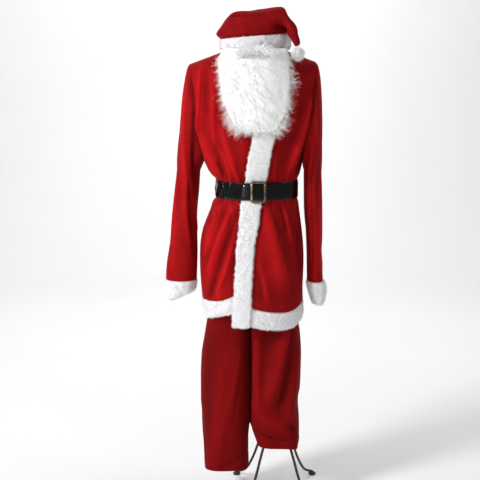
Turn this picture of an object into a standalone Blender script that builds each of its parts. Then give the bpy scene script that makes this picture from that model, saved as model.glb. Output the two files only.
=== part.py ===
"""A Santa suit worn by a plain display form.

The suit is a belted plush coat, trousers, a hat and a beard. The form is a torso with a neck and no
limbs, on a pole that runs down inside one trouser leg to a base of four curved legs.

Metres. +Z is up and the floor is Z = 0. -Y is the front. "left" and "right" are the wearer's, so
+X is left.
"""

import math

import bmesh
import bpy
import numpy as np

for leftover in list(bpy.data.objects):
    bpy.data.objects.remove(leftover, do_unlink=True)

SEAM = 0.0003  # gap left at every seam
CLEAR = 0.0005  # gap between a piece and what it lies on
PLUSH = 0.0024  # wall of the red plush
FOLD_FADE = 0.28  # share of a fold's length over which each end dies out
BODY_X = 0.030  # middle of the form and of the coat
POLE_X = 0.099  # the pole stands to one side, inside the left trouser leg
FRONT, BACK = -1, 1  # the way each face of the body looks, along Y
LEFT, RIGHT = 1, -1  # the way each side lies, along X
SIDE_NAME = {LEFT: "left", RIGHT: "right"}
FACE_NAME = {FRONT: "front", BACK: "back"}


def table(columns, rows):
    """A short table with named columns. Its first column rises."""
    return dict(zip(columns.split(), np.array(rows, float).T))


def along(rows, column, at):
    """One column of a table, read as a smooth curve that does not overshoot, at first-column values."""
    xs, ys = next(iter(rows.values())), rows[column]
    at = np.clip(at, xs[0], xs[-1])
    rise = np.diff(ys) / np.diff(xs)
    slope = np.concatenate([rise[:1], np.zeros(len(xs) - 2), rise[-1:]])
    steady = rise[:-1] * rise[1:] > 0
    slope[1:-1][steady] = 2 / (1 / rise[:-1][steady] + 1 / rise[1:][steady])
    k = np.clip(np.searchsorted(xs, at) - 1, 0, len(xs) - 2)
    step = xs[k + 1] - xs[k]
    t = (at - xs[k]) / step
    level = ys[k] * (1 + 2 * t) * (1 - t) ** 2 + ys[k + 1] * t**2 * (3 - 2 * t)
    return level + step * t * (1 - t) * (slope[k] * (1 - t) - slope[k + 1] * t)


def ramp(t):
    """0 below 0, 1 above 1, and smooth between."""
    t = np.clip(t, 0, 1)
    return t * t * (3 - 2 * t)


def unit(vectors):
    return vectors / np.linalg.norm(vectors, axis=-1, keepdims=True)


def signed_power(value, power):
    return np.sign(value) * np.abs(value) ** power


def grid_normals(points, closed=False):
    """Unit normals of a grid of points. On a closed grid the last column repeats the first."""
    if closed:
        wrapped = np.concatenate([points[:, -2:-1], points, points[:, 1:2]], axis=1)
        across = wrapped[:, 2:] - wrapped[:, :-2]
    else:
        across = np.gradient(points, axis=1)
    return unit(np.cross(across, np.gradient(points, axis=0)))


def full_turn(steps):
    return np.linspace(0, 2 * math.pi, steps + 1)


def one_fold(across, z, low, high, at_low, at_mid, at_high, width, height):
    """A soft fold that runs between two heights along a curve, and fades out towards both ends."""
    t = np.clip((z - low) / (high - low), 0, 1)
    line = at_low * (1 - t) * (1 - 2 * t) + at_mid * 4 * t * (1 - t) + at_high * t * (2 * t - 1)
    ends = ramp(np.minimum(z - low, high - z) / (FOLD_FADE * (high - low)))
    return height * ends * np.exp(-(((across - line) / width) ** 2))


def material(name, colour, roughness, metallic=0.0):
    made = bpy.data.materials.new(name)
    made.use_nodes = True
    shader = made.node_tree.nodes["Principled BSDF"]
    shader.inputs["Base Color"].default_value = (*colour, 1.0)
    shader.inputs["Roughness"].default_value = roughness
    shader.inputs["Metallic"].default_value = metallic
    return made


def finish(name, bm, finish_material, sharp_deg=50):
    """Makes a named object from a bmesh, with outward faces and smooth shading."""
    bmesh.ops.recalc_face_normals(bm, faces=bm.faces)
    mesh = bpy.data.meshes.new(name)
    bm.to_mesh(mesh)
    bm.free()
    mesh.materials.append(finish_material)
    mesh.shade_smooth()
    mesh.set_sharp_from_angle(angle=math.radians(sharp_deg))
    made = bpy.data.objects.new(name, mesh)
    bpy.context.scene.collection.objects.link(made)
    return made


def sheet_mesh(points, cap_rows=()):
    """A grid laid on the points. Places that meet are welded, and the named rows are capped."""
    rows, columns = points.shape[:2]
    bm = bmesh.new()
    bmesh.ops.create_grid(bm, x_segments=columns - 1, y_segments=rows - 1, size=1.0)
    place = bm.verts.layers.int.new("place")
    for vert, point in zip(bm.verts, points.reshape(-1, 3)):
        vert[place] = vert.index
        vert.co = point
    bmesh.ops.remove_doubles(bm, verts=bm.verts, dist=2e-6)
    for row in cap_rows:
        rim = [e for e in bm.edges if e.is_boundary and all(v[place] // columns == row for v in e.verts)]
        bmesh.ops.edgeloop_fill(bm, edges=rim)
    return bm, place


def wall(name, outer, inner, finish_material, cap_rows=()):
    """A closed wall between two matching grids of points: the outer one, extruded to the inner one."""
    bm, place = sheet_mesh(outer, cap_rows)
    made = bmesh.ops.extrude_face_region(bm, geom=bm.faces[:], use_keep_orig=True)
    flat = inner.reshape(-1, 3)
    for vert in made["geom"]:
        if isinstance(vert, bmesh.types.BMVert):
            vert.co = flat[vert[place]]
    return finish(name, bm, finish_material)


def loft(name, rings, finish_material):
    """A closed solid through rings of points, capped at both ends. Each ring's last point is its first."""
    bm, _ = sheet_mesh(rings, cap_rows=(0, len(rings) - 1))
    return finish(name, bm, finish_material)


def cylinder(name, x, y, low, high, radius, finish_material, steps=24, round_top=0.0):
    """An upright cylinder, with a rounded top edge where one is given."""
    bm = bmesh.new()
    bmesh.ops.create_cone(
        bm, cap_ends=True, segments=steps, radius1=radius, radius2=radius, depth=high - low
    )
    bmesh.ops.translate(bm, verts=bm.verts, vec=(x, y, (low + high) / 2))
    if round_top:
        rim = [e for e in bm.edges if all(v.co.z > (low + high) / 2 for v in e.verts)]
        bmesh.ops.bevel(bm, geom=rim, offset=round_top, segments=2, affect="EDGES", profile=0.5)
    return finish(name, bm, finish_material)


# Display form: a smooth torso with a neck and no limbs, made whole, on a pole and a base

FORM_STEPS = 40
SQUARE = 2.3  # how square the rounded sections of the body are; 2 is an ellipse
TORSO = table(
    "z half front back",
    [
        (0.8000, 0.098, 0.066, 0.074),
        (0.8060, 0.111, 0.077, 0.085),
        (0.8300, 0.121, 0.086, 0.096),
        (0.8700, 0.124, 0.088, 0.100),
        (0.9300, 0.118, 0.084, 0.090),
        (0.9900, 0.107, 0.079, 0.077),
        (1.0500, 0.112, 0.086, 0.079),
        (1.1200, 0.124, 0.094, 0.086),
        (1.1800, 0.133, 0.096, 0.090),
        (1.2400, 0.142, 0.090, 0.092),
        (1.3000, 0.152, 0.074, 0.084),
        (1.3400, 0.160, 0.058, 0.064),
        (1.3610, 0.162, 0.046, 0.050),
        (1.3767, 0.152, 0.030, 0.032),
        (1.3928, 0.108, 0.020, 0.022),
        (1.4019, 0.080, 0.016, 0.018),
        (1.4100, 0.053, 0.029, 0.032),
        (1.4300, 0.051, 0.042, 0.045),
        (1.4750, 0.046, 0.041, 0.043),
        (1.4980, 0.036, 0.033, 0.033),
        (1.5080, 0.022, 0.020, 0.020),
        (1.5124, 0.008, 0.008, 0.008),
    ],
)
PLATE_R, PLATE_T = 0.024, 0.006
POLE_R = 0.0115
HUB_R, HUB_LOW, HUB_HIGH = 0.020, 0.246, 0.300
LEG_WIRE_R, FOOT_R, FOOT_T, LEG_POINTS = 0.0042, 0.012, 0.0058, 32
LEG_TURNS = (-52, -128, 132, 48)  # degrees from the wearer's left, front legs first
BASE_LEG = table(
    "run r z",  # the route of one leg, from the hub out to its foot
    [
        (0.0, 0.0246, 0.2850),
        (1.0, 0.0320, 0.2500),
        (2.0, 0.0460, 0.2200),
        (3.0, 0.0600, 0.1920),
        (4.0, 0.0730, 0.1650),
        (5.0, 0.0860, 0.1380),
        (6.0, 0.1000, 0.1060),
        (7.0, 0.1180, 0.0720),
        (8.0, 0.1480, 0.0320),
        (9.0, 0.1900, 0.0098),
    ],
)


def oval(angle, right, left, front, back, square=SQUARE):
    """A rounded section read at angles from the front towards the left: offsets from its centre."""
    x = signed_power(np.sin(angle), 2 / square)
    y = -signed_power(np.cos(angle), 2 / square)
    return np.where(x < 0, right, left) * x, np.where(y < 0, front, back) * y


def form_rings(levels):
    """Rings of points round the form's surface."""
    rings = []
    for z in levels:
        half, front, back = (along(TORSO, column, z) for column in ("half", "front", "back"))
        x, y = oval(full_turn(FORM_STEPS), half, half, front, back)
        rings.append(np.stack([BODY_X + x, y, np.full_like(x, z)], axis=-1))
    return np.array(rings)


def build_form():
    cover = material("form_jersey", (0.80, 0.76, 0.69), 0.8)
    steel = material("black_steel", (0.02, 0.02, 0.02), 0.35, 0.6)
    rubber = material("foot_rubber", (0.03, 0.03, 0.03), 0.8)
    levels = np.interp(np.arange(0, len(TORSO["z"]) - 0.5, 0.5), np.arange(len(TORSO["z"])), TORSO["z"])
    loft("form_torso", form_rings(levels), cover)
    plate_low = TORSO["z"][0] - SEAM - PLATE_T
    cylinder("form_plate", POLE_X, 0, plate_low, plate_low + PLATE_T, PLATE_R, steel)
    cylinder("form_pole", POLE_X, 0, HUB_HIGH + SEAM, plate_low - SEAM, POLE_R, steel, steps=16)
    cylinder("base_hub", POLE_X, 0, HUB_LOW, HUB_HIGH, HUB_R, steel, round_top=0.003)
    runs = np.linspace(0, BASE_LEG["run"][-1], LEG_POINTS)
    for n, degrees in enumerate(LEG_TURNS):
        turn = math.radians(degrees)
        r, z = along(BASE_LEG, "r", runs), along(BASE_LEG, "z", runs)
        middle = np.stack([POLE_X + r * math.cos(turn), r * math.sin(turn), z], axis=-1)
        course = unit(np.gradient(middle, axis=0))
        beside = np.array([-math.sin(turn), math.cos(turn), 0.0])
        above = np.cross(course, beside)
        spin = full_turn(10)[None, :, None]
        rings = middle[:, None] + LEG_WIRE_R * (np.cos(spin) * beside + np.sin(spin) * above[:, None])
        loft(f"base_leg_{n + 1}", rings, steel)
        cylinder(f"base_foot_{n + 1}", middle[-1, 0], middle[-1, 1], 0, FOOT_T, FOOT_R, rubber, 20, 0.001)


# Coat body: one surface, from which the panels are cut

COAT = table(
    "z right left front back",  # right and left are X, front and back are depths
    [
        (0.560, -0.1310, 0.1760, 0.117, 0.128),
        (0.600, -0.1320, 0.1775, 0.118, 0.130),
        (0.640, -0.1335, 0.1785, 0.118, 0.130),
        (0.690, -0.1375, 0.1775, 0.117, 0.128),
        (0.730, -0.1400, 0.1790, 0.116, 0.126),
        (0.775, -0.1410, 0.1795, 0.115, 0.124),
        (0.820, -0.1395, 0.1775, 0.113, 0.121),
        (0.860, -0.1330, 0.1735, 0.110, 0.117),
        (0.895, -0.1210, 0.1690, 0.107, 0.111),
        (0.930, -0.1070, 0.1640, 0.104, 0.104),
        (0.950, -0.1010, 0.1615, 0.102, 0.099),
        (0.967, -0.0890, 0.1570, 0.099, 0.095),
        (1.019, -0.0890, 0.1570, 0.099, 0.095),
        (1.034, -0.1030, 0.1630, 0.106, 0.102),
        (1.050, -0.1140, 0.1680, 0.111, 0.107),
        (1.075, -0.1260, 0.1740, 0.115, 0.112),
        (1.120, -0.1540, 0.1970, 0.117, 0.114),
        (1.200, -0.1810, 0.2220, 0.116, 0.112),
        (1.270, -0.1930, 0.2350, 0.108, 0.109),
        (1.330, -0.2000, 0.2430, 0.094, 0.104),
        (1.420, -0.2070, 0.2500, 0.078, 0.096),
    ],
)
ARMPIT_Z, NECK_Z, NECK_HALF = 1.075, 1.413, 0.068
SHOULDER_SLOPE, SHOULDER_ROUND = 0.37, 0.060
NECK_DROP = {FRONT: 0.074, BACK: 0.018}
ARMHOLE = table(
    "up right left",  # X of the armhole's edge, from the armpit (0) up to the shoulder (1)
    [
        (0.00, -0.1260, 0.1740),
        (0.15, -0.1275, 0.1755),
        (0.33, -0.1350, 0.1815),
        (0.54, -0.1440, 0.1895),
        (0.79, -0.1560, 0.2000),
        (1.00, -0.1690, 0.2090),
    ],
)
BELT_LOW, BELT_HIGH = 0.9670, 1.0190
HEM_LEVEL, HEM_PULL = 0.650, 0.200  # rows are bent to the hem over this height above it
LOWER_Z = (0.650, 0.695, 0.740, 0.785, 0.830, 0.875, 0.915, 0.950, 0.967, 1.019, 1.034, 1.075)
UPPER_STEPS = (0.14, 0.32, 0.52, 0.72, 0.88, 0.97, 1.0)
ARMPIT_ROW = len(LOWER_Z) - 1
HALF_COLUMNS = 11  # columns of points across half of the coat
BEND_PASSES = 4  # a row's columns depend on its height, so it settles in a few passes
TRIM = table(
    "z middle half",  # the fur strip down the front: X of its middle, and half its width
    [
        (0.560, -0.0155, 0.0275),
        (0.640, -0.0105, 0.0270),
        (0.700, -0.0080, 0.0262),
        (0.760, -0.0045, 0.0260),
        (0.820, -0.0014, 0.0262),
        (0.880, 0.0075, 0.0278),
        (0.956, 0.0160, 0.0300),
        (1.024, 0.0290, 0.0312),
        (1.089, 0.0385, 0.0320),
        (1.160, 0.0520, 0.0320),
        (1.250, 0.0560, 0.0300),
        (1.345, 0.0400, 0.0280),
    ],
)
TRIM_THICK, TRIM_UNDER_BELT, STRIP_CLEAR = 0.0120, 0.0045, 0.0009
TRIM_LAP = 0.003  # how far the strip reaches past the edge it is sewn to
LAP_DROP = 0.0036  # how deep the right front lies where it runs under the left one
LAP_BEFORE, LAP_EASE = 0.014, 0.012  # it starts to go under this far outside the strip, over this width
STRIP_FADE, BELT_FADE, SIDE_FADE = 0.020, 0.020, 0.045  # reach over which folds die out beside these
HEM_FUR = {"out": 0.003, "in": -0.006, "lap out": -0.0042, "lap in": -0.0095}
HEM = {
    "right": table(
        "x top low", [(-0.140, 0.652, 0.589), (-0.083, 0.659, 0.609), (-0.038, 0.677, 0.622)]
    ),
    "left": table(
        "x top low",
        [
            (0.015, 0.642, 0.583),
            (0.063, 0.631, 0.573),
            (0.120, 0.625, 0.569),
            (0.145, 0.628, 0.571),
            (0.182, 0.646, 0.588),
        ],
    ),
    "back": table(
        "x top low",
        [(-0.140, 0.652, 0.589), (-0.060, 0.641, 0.582), (0.080, 0.638, 0.580), (0.182, 0.646, 0.588)],
    ),
}
# The largest folds. Each passes through x at its low, middle and high ends, and rises by height
# out of the coat; a trough has a negative height.
FOLDS = table(
    "face z_low z_high x_low x_mid x_high width height",
    [
        (FRONT, 1.13, 1.385, -0.138, -0.133, -0.128, 0.013, 0.0085),
        (FRONT, 1.02, 1.235, -0.068, -0.118, -0.139, 0.014, 0.0105),
        (FRONT, 1.10, 1.385, -0.092, -0.094, -0.096, 0.012, 0.0065),
        (FRONT, 1.02, 1.200, -0.022, -0.046, -0.076, 0.013, 0.0085),
        (FRONT, 1.02, 1.180, -0.050, -0.082, -0.104, 0.010, -0.0040),
        (FRONT, 1.02, 1.360, 0.103, 0.140, 0.160, 0.017, 0.0140),
        (FRONT, 1.02, 1.300, 0.085, 0.108, 0.124, 0.014, -0.0110),
        (FRONT, 0.79, 0.970, -0.122, -0.092, -0.072, 0.012, 0.0100),
        (FRONT, 0.70, 0.970, -0.118, -0.076, -0.020, 0.013, 0.0125),
        (FRONT, 0.64, 0.860, -0.090, -0.058, -0.026, 0.013, 0.0105),
        (FRONT, 0.74, 0.968, -0.128, -0.088, -0.054, 0.010, -0.0065),
        (FRONT, 0.67, 0.930, -0.106, -0.065, -0.028, 0.011, -0.0060),
        (FRONT, 0.64, 0.970, 0.130, 0.094, 0.060, 0.020, 0.0085),
        (FRONT, 0.64, 0.966, 0.160, 0.128, 0.092, 0.015, -0.0040),
        (FRONT, 0.62, 0.820, 0.072, 0.058, 0.034, 0.014, 0.0045),
        (BACK, 1.02, 1.34, -0.050, -0.085, -0.110, 0.016, 0.012),
        (BACK, 1.02, 1.24, 0.010, 0.006, -0.004, 0.015, 0.010),
        (BACK, 1.02, 1.34, 0.110, 0.140, 0.165, 0.017, 0.012),
        (BACK, 1.02, 1.30, 0.062, 0.085, 0.110, 0.014, -0.010),
        (BACK, 0.60, 0.96, -0.104, -0.090, -0.058, 0.015, 0.012),
        (BACK, 0.58, 0.96, -0.030, -0.022, -0.010, 0.017, 0.014),
        (BACK, 0.60, 0.96, 0.022, 0.020, 0.020, 0.013, -0.010),
        (BACK, 0.58, 0.96, 0.070, 0.060, 0.050, 0.016, 0.012),
        (BACK, 0.60, 0.96, 0.140, 0.124, 0.100, 0.015, 0.012),
    ],
)


def from_middle(x):
    return np.abs(x - BODY_X)


def shoulder_ridge(x):
    """Height of the line along the top of the shoulders."""
    return NECK_Z - SHOULDER_SLOPE * np.maximum(from_middle(x) - NECK_HALF, 0)


def top_edge(x, face):
    """Height of a panel's top edge: the neckline, and outside it the shoulder seam."""
    inside = np.clip(from_middle(x) / NECK_HALF, 0, 1)
    return shoulder_ridge(x) - NECK_DROP[face] * (1 - inside**2.1)


def coat_depth(x, z, face):
    """How far the coat lies in front of, or behind, the plane of its side seams."""
    half = np.where(x < BODY_X, BODY_X - along(COAT, "right", z), along(COAT, "left", z) - BODY_X)
    share = np.clip(from_middle(x) / half, 0, 1)
    crown = 1 - np.clip((shoulder_ridge(x) - z) / SHOULDER_ROUND, 0, 1)
    depth = along(COAT, FACE_NAME[face], z) * (1 - share**SQUARE) ** (1 / SQUARE)
    return np.maximum(depth * np.sqrt(1 - crown**2), SEAM * 2 / 3)


def trim_edge(z, side, more=0.0):
    """X of one edge of the front fur strip, or of a line a little further out."""
    return along(TRIM, "middle", z) + side * (along(TRIM, "half", z) + more)


def fold_height(x, z, face):
    """How far the folds lift the cloth out, or let it in. They die out at the seams and the strip."""
    total = np.zeros(np.broadcast(x, z).shape)
    for n in np.flatnonzero(FOLDS["face"] == face):
        total += one_fold(x, z, *(column[n] for column in list(FOLDS.values())[1:]))
    if face == FRONT:
        beside = np.maximum(trim_edge(z, RIGHT) - x, x - trim_edge(z, LEFT))
        total = total * ramp(beside / STRIP_FADE)
    from_belt = np.maximum(BELT_LOW - z, z - BELT_HIGH)
    return total * ramp(coat_depth(x, z, face) / SIDE_FADE) * ramp(from_belt / BELT_FADE)


def on_coat(x, z, face, out):
    """Points on the coat's front or back, moved out along its surface."""
    tiny = 1e-4
    slope_x = (coat_depth(x + tiny, z, face) - coat_depth(x - tiny, z, face)) / (2 * tiny)
    slope_z = (coat_depth(x, z + tiny, face) - coat_depth(x, z - tiny, face)) / (2 * tiny)
    normal = unit(np.stack([-slope_x, np.full_like(slope_x, face), -slope_z], axis=-1))
    base = np.stack([x, face * coat_depth(x, z, face), z], axis=-1)
    return base + normal * (fold_height(x, z, face) + out)[..., None]


def panel_columns(inner, reach, level):
    """X across a panel: first its inner columns, given as functions of Z, then out to its reach."""
    near = [column(level) for column in inner]
    wide = reach - BODY_X
    start = np.arcsin(signed_power(np.clip((near[-1] - BODY_X) / wide, -1, 1), SQUARE / 2))
    share = np.linspace(0, 1, HALF_COLUMNS - len(near) + 1)[1:]
    far = BODY_X + wide * signed_power(np.sin(start + (math.pi / 2 - start) * share), 2 / SQUARE)
    return np.concatenate([near, far])


def bent_row(inner, side, level, height):
    """X and Z of a row that starts level and is bent by height(x), so that it follows the hem."""
    z = np.full(HALF_COLUMNS, level)
    for _ in range(BEND_PASSES):
        x = panel_columns(inner, along(COAT, SIDE_NAME[side], z[-1]), z[0])
        z = height(x)
    return x, z


def panel_places(face, side, inner):
    """X and Z of half a coat body, from the top of its hem band up to the shoulder.

    Columns run from the inner edge out to the side seam and the armhole. Rows run up.
    """
    name = SIDE_NAME[side]
    hem = HEM[name if face == FRONT else "back"]
    rows = []
    for level in LOWER_Z:
        pull = max(1 - (level - HEM_LEVEL) / HEM_PULL, 0)

        def height(x):
            return level + (along(hem, "top", x) - HEM_LEVEL) * pull
        rows.append(bent_row(inner, side, level, height))
    top_x = panel_columns(inner, along(ARMHOLE, name, 1.0), NECK_Z - NECK_DROP[face])
    at_neck = np.argmin(np.abs(from_middle(top_x) - NECK_HALF))
    for up in UPPER_STEPS:
        x = panel_columns(inner, along(ARMHOLE, name, up), upper_level(up, face))
        x[at_neck] += (BODY_X + side * NECK_HALF - x[at_neck]) * up**2
        rows.append((x, ARMPIT_Z + up * (top_edge(x, face) - ARMPIT_Z)))
    return np.array(rows).transpose(1, 0, 2)


def upper_level(up, face):
    """Height in the middle of the body of a row above the armpit."""
    return ARMPIT_Z + up * (NECK_Z - NECK_DROP[face] - ARMPIT_Z)


def panel_surface(x, z, face):
    """Points and outward normals of a panel. At the side and shoulder seams the normals lie in the seam."""
    y = face * coat_depth(x, z, face)
    base = np.stack([x, y, z], axis=-1)
    outward = grid_normals(base)
    outward *= np.sign(np.mean(outward[..., 1]) * face)
    points = base + outward * fold_height(x, z, face)[..., None]
    normals = grid_normals(points)
    normals *= np.sign(np.mean(normals[..., 1]) * face)
    normals[np.abs(y) < SEAM, 1] = 0
    return points, unit(normals)


def lap_share(x, z):
    """0 on the open right front, 1 where it has gone under the left front."""
    return ramp((x - trim_edge(z, RIGHT, LAP_BEFORE)) / LAP_EASE)


# Inner columns of each panel, as X for a given Z
INNER = {
    "right front": (
        lambda z: along(TRIM, "middle", z),
        lambda z: trim_edge(z, RIGHT) + TRIM_LAP,
        lambda z: trim_edge(z, RIGHT, LAP_BEFORE - LAP_EASE),
        lambda z: trim_edge(z, RIGHT, LAP_BEFORE),
    ),
    "left front": (
        lambda z: trim_edge(z, RIGHT) + TRIM_LAP,
        lambda z: along(TRIM, "middle", z),
        lambda z: trim_edge(z, LEFT, SEAM * 2),
    ),
    "back": (lambda z: BODY_X + 0 * z,),
}


def both_halves(place):
    """Joins the two halves of the back into one row of columns, from right to left."""
    (x_right, z_right), (x_left, z_left) = (place(side) for side in (RIGHT, LEFT))
    return (
        np.concatenate([x_right[:, :0:-1], x_left], axis=1),
        np.concatenate([z_right[:, :0:-1], z_left], axis=1),
    )


def coat_panels():
    """Points and normals of the three panels: right front, left front and back."""
    points, normals = panel_surface(*panel_places(FRONT, RIGHT, INNER["right front"]), FRONT)
    points = points - normals * (LAP_DROP * lap_share(points[..., 0], points[..., 2]))[..., None]
    left_front = panel_surface(*panel_places(FRONT, LEFT, INNER["left front"]), FRONT)
    back = panel_surface(*both_halves(lambda side: panel_places(BACK, side, INNER["back"])), BACK)
    return (points, normals), left_front, back


# Sleeves

SLEEVE = {
    "right": table(
        "z outer inner front back",
        [
            (0.7075, -0.2470, -0.1510, 0.042, 0.044),
            (0.7350, -0.2455, -0.1495, 0.042, 0.044),
            (0.7980, -0.2370, -0.1475, 0.043, 0.046),
            (0.8610, -0.2285, -0.1480, 0.046, 0.050),
            (0.9230, -0.2220, -0.1475, 0.050, 0.052),
            (0.9850, -0.2150, -0.1415, 0.052, 0.055),
            (1.0400, -0.2085, -0.1375, 0.054, 0.057),
        ],
    ),
    "left": table(
        "z outer inner front back",
        [
            (0.7050, 0.2405, 0.1905, 0.047, 0.047),
            (0.7350, 0.2390, 0.1900, 0.048, 0.048),
            (0.7980, 0.2345, 0.1885, 0.050, 0.050),
            (0.8610, 0.2320, 0.1850, 0.052, 0.053),
            (0.9230, 0.2315, 0.1790, 0.054, 0.055),
            (0.9850, 0.2310, 0.1770, 0.055, 0.057),
            (1.0400, 0.2305, 0.1765, 0.056, 0.058),
        ],
    ),
}
CAP_STEPS = (0.04, 0.14, 0.30, 0.50, 0.74)  # shares of the way from the armhole down to the arm
CAP_BULGE, CAP_EASE, ARMHOLE_GAP = {"right": 0.006, "left": 0.010}, 0.012, 0.0013
CUFF_WALL = 0.009
CUFF = {
    "right": table(
        "row z_outer z_inner outer inner front back",
        [
            (0, 0.7070, 0.7070, -0.2505, -0.1485, 0.046, 0.048),
            (1, 0.6950, 0.7000, -0.2540, -0.1475, 0.049, 0.050),
            (2, 0.6700, 0.6850, -0.2540, -0.1495, 0.048, 0.049),
            (3, 0.6470, 0.6740, -0.2440, -0.1530, 0.041, 0.043),
            (4, 0.6420, 0.6730, -0.2370, -0.1590, 0.036, 0.038),
        ],
    ),
    "left": table(
        "row z_outer z_inner outer inner front back",
        [
            (0, 0.7045, 0.7045, 0.2440, 0.1870, 0.051, 0.051),
            (1, 0.6920, 0.6930, 0.2530, 0.1870, 0.054, 0.054),
            (2, 0.6620, 0.6650, 0.2535, 0.1940, 0.050, 0.050),
            (3, 0.6330, 0.6370, 0.2465, 0.2030, 0.043, 0.043),
            (4, 0.6290, 0.6330, 0.2405, 0.2090, 0.038, 0.038),
        ],
    ),
}
CUFF_STEPS = 18


def arm_ring(outer, inner, front, back, z_outer, z_inner, steps):
    """A ring read from the outer side of the arm, round its front to the inner side, and back."""
    turn = full_turn(steps)
    x = (outer + inner) / 2 + (outer - inner) / 2 * np.cos(turn)
    y = -np.where(np.sin(turn) > 0, front, back) * np.sin(turn)
    z = (z_outer + z_inner) / 2 + (z_outer - z_inner) / 2 * np.cos(turn)
    return np.stack([x, y, z], axis=-1)


def sleeve_points(name, loop, away_from_coat):
    """Rows of a sleeve, from the armhole down to the top of the cuff."""
    steps = len(loop) - 1
    rings = [arm_ring(outer, inner, front, back, z, z, steps)
             for z, outer, inner, front, back in zip(*SLEEVE[name].values())][::-1]
    fall = rings[0] - loop
    away = np.sign(SLEEVE[name]["outer"][0]) * (0.5 + 0.5 * np.cos(full_turn(steps)))
    rows = []
    for t in (0.0,) + CAP_STEPS:
        row = loop + fall * t + away_from_coat * (ARMHOLE_GAP + CAP_EASE * t * (1 - t))
        row[:, 0] += away * CAP_BULGE[name] * math.sin(math.pi * math.sqrt(t))
        rows.append(row)
    return np.array(rows + rings)


def ring_normals(points, middle_x):
    """Outward normals of a grid closed round an upright axis."""
    normals = grid_normals(points, closed=True)
    return normals * np.sign(np.mean(normals[..., 0] * (points[..., 0] - middle_x)))


def armhole(name, front, back):
    """The rows of both panels that make one armhole, as (panel, row, column), closed on itself."""
    column = 0 if name == "right" else -1
    top = len(front[0]) - 1
    down = [(front, row, -1) for row in range(top, ARMPIT_ROW - 1, -1)]
    up = [(back, row, column) for row in range(ARMPIT_ROW + 1, top)]
    return down + up + down[:1]


def build_coat(plush, fur):
    right_front, left_front, back = coat_panels()
    for name, front in (("right", right_front), ("left", left_front)):
        edge = armhole(name, front, back)
        loop, facing = (np.array([panel[n][row, column] for panel, row, column in edge]) for n in (0, 1))
        course = np.gradient(loop, axis=0)
        course[0] = course[-1] = loop[1] - loop[-2]
        beyond = unit(np.cross(course, facing))
        beyond *= np.sign(np.mean(beyond[:, 0]) * (LEFT if name == "left" else RIGHT))
        points = sleeve_points(name, loop, beyond)
        normals = ring_normals(points, points[-1, :, 0].mean())
        for n, (panel, row, column) in enumerate(edge):
            mitre = unit(panel[1][row, column] + normals[0, n])
            panel[1][row, column] = mitre
            normals[0, n] = mitre
        normals[0, -1] = normals[0, 0]
        back[1][-1, 0 if name == "right" else -1] = normals[0, 0] * (1, 0, 1)
        wall(f"sleeve_{name}", points, points - normals * PLUSH, plush)
        build_cuff(name, fur)
    for label, (points, normals) in (
        ("coat_front_right", right_front),
        ("coat_front_left", left_front),
        ("coat_back", back),
    ):
        wall(label, points, points - normals * PLUSH, plush)
    build_hem_bands(fur)
    build_front_strip(fur)


# White fur: cuffs, hem bands and the strip down the front


def build_cuff(name, fur):
    rings = np.array([arm_ring(outer, inner, front, back, z_outer, z_inner, CUFF_STEPS)
                      for _, z_outer, z_inner, outer, inner, front, back in zip(*CUFF[name].values())])
    middle = rings.mean(axis=1, keepdims=True)
    across = unit((rings - middle) * (1, 1, 0))
    inner = rings - across * CUFF_WALL
    wall(f"cuff_{name}", rings, inner, fur)


HEM_ROUND = table("down stand", [(0.0, 0.35), (0.12, 0.85), (0.5, 1.0), (0.86, 0.85), (1.0, 0.35)])


def band_places(face, side, inner):
    """X and Z of half a hem band. Its columns carry on from those of the panel above."""
    hem = HEM[SIDE_NAME[side] if face == FRONT else "back"]
    rows = []
    for down in HEM_ROUND["down"]:

        def height(x):
            top = along(hem, "top", x) - SEAM * 1.5
            return top + (along(hem, "low", x) - top) * down
        rows.append(bent_row(inner, side, HEM_LEVEL, height))
    return np.array(rows).transpose(1, 0, 2)


def hem_band(name, face, places, fur, lap=0.0):
    """A fur band along the foot of a panel. The lap is let in, to lie under the other front."""
    points, normals = panel_surface(*places, face)
    stand = HEM_ROUND["stand"][:, None] * (HEM_FUR["out"] - HEM_FUR["in"]) + HEM_FUR["in"]
    out = stand + (np.minimum(stand, HEM_FUR["lap out"]) - stand) * lap
    low = HEM_FUR["in"] + (HEM_FUR["lap in"] - HEM_FUR["in"]) * lap + np.zeros_like(out)
    wall(name, points + normals * out[..., None], points + normals * low[..., None], fur)


def build_hem_bands(fur):
    right = band_places(FRONT, RIGHT, INNER["right front"])
    hem_band("hem_band_right", FRONT, right, fur, lap_share(*right))
    left = band_places(FRONT, LEFT, INNER["left front"])
    hem_band("hem_band_left", FRONT, left[:, :, 2:], fur)
    hem_band("hem_band_back", BACK, both_halves(lambda side: band_places(BACK, side, INNER["back"])), fur)


STRIP_FOOT = (0.612, 0.583)  # rows of the strip below the coat's own
STRIP_ROUND = table("across stand", [(-1, 0.40), (-0.86, 0.90), (0, 1.00), (0.86, 0.90), (1, 0.40)])
STRIP_PRESSED, STRIP_EASE = 0.034, 0.030  # height kept thin either side of the belt, then the rise


def strip_thickness(z):
    """Thickness of the front strip, pressed down where the belt crosses it."""
    clear_of_belt = ramp((np.abs(z - (BELT_LOW + BELT_HIGH) / 2) - STRIP_PRESSED) / STRIP_EASE)
    return TRIM_UNDER_BELT + (TRIM_THICK - TRIM_UNDER_BELT) * clear_of_belt


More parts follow.
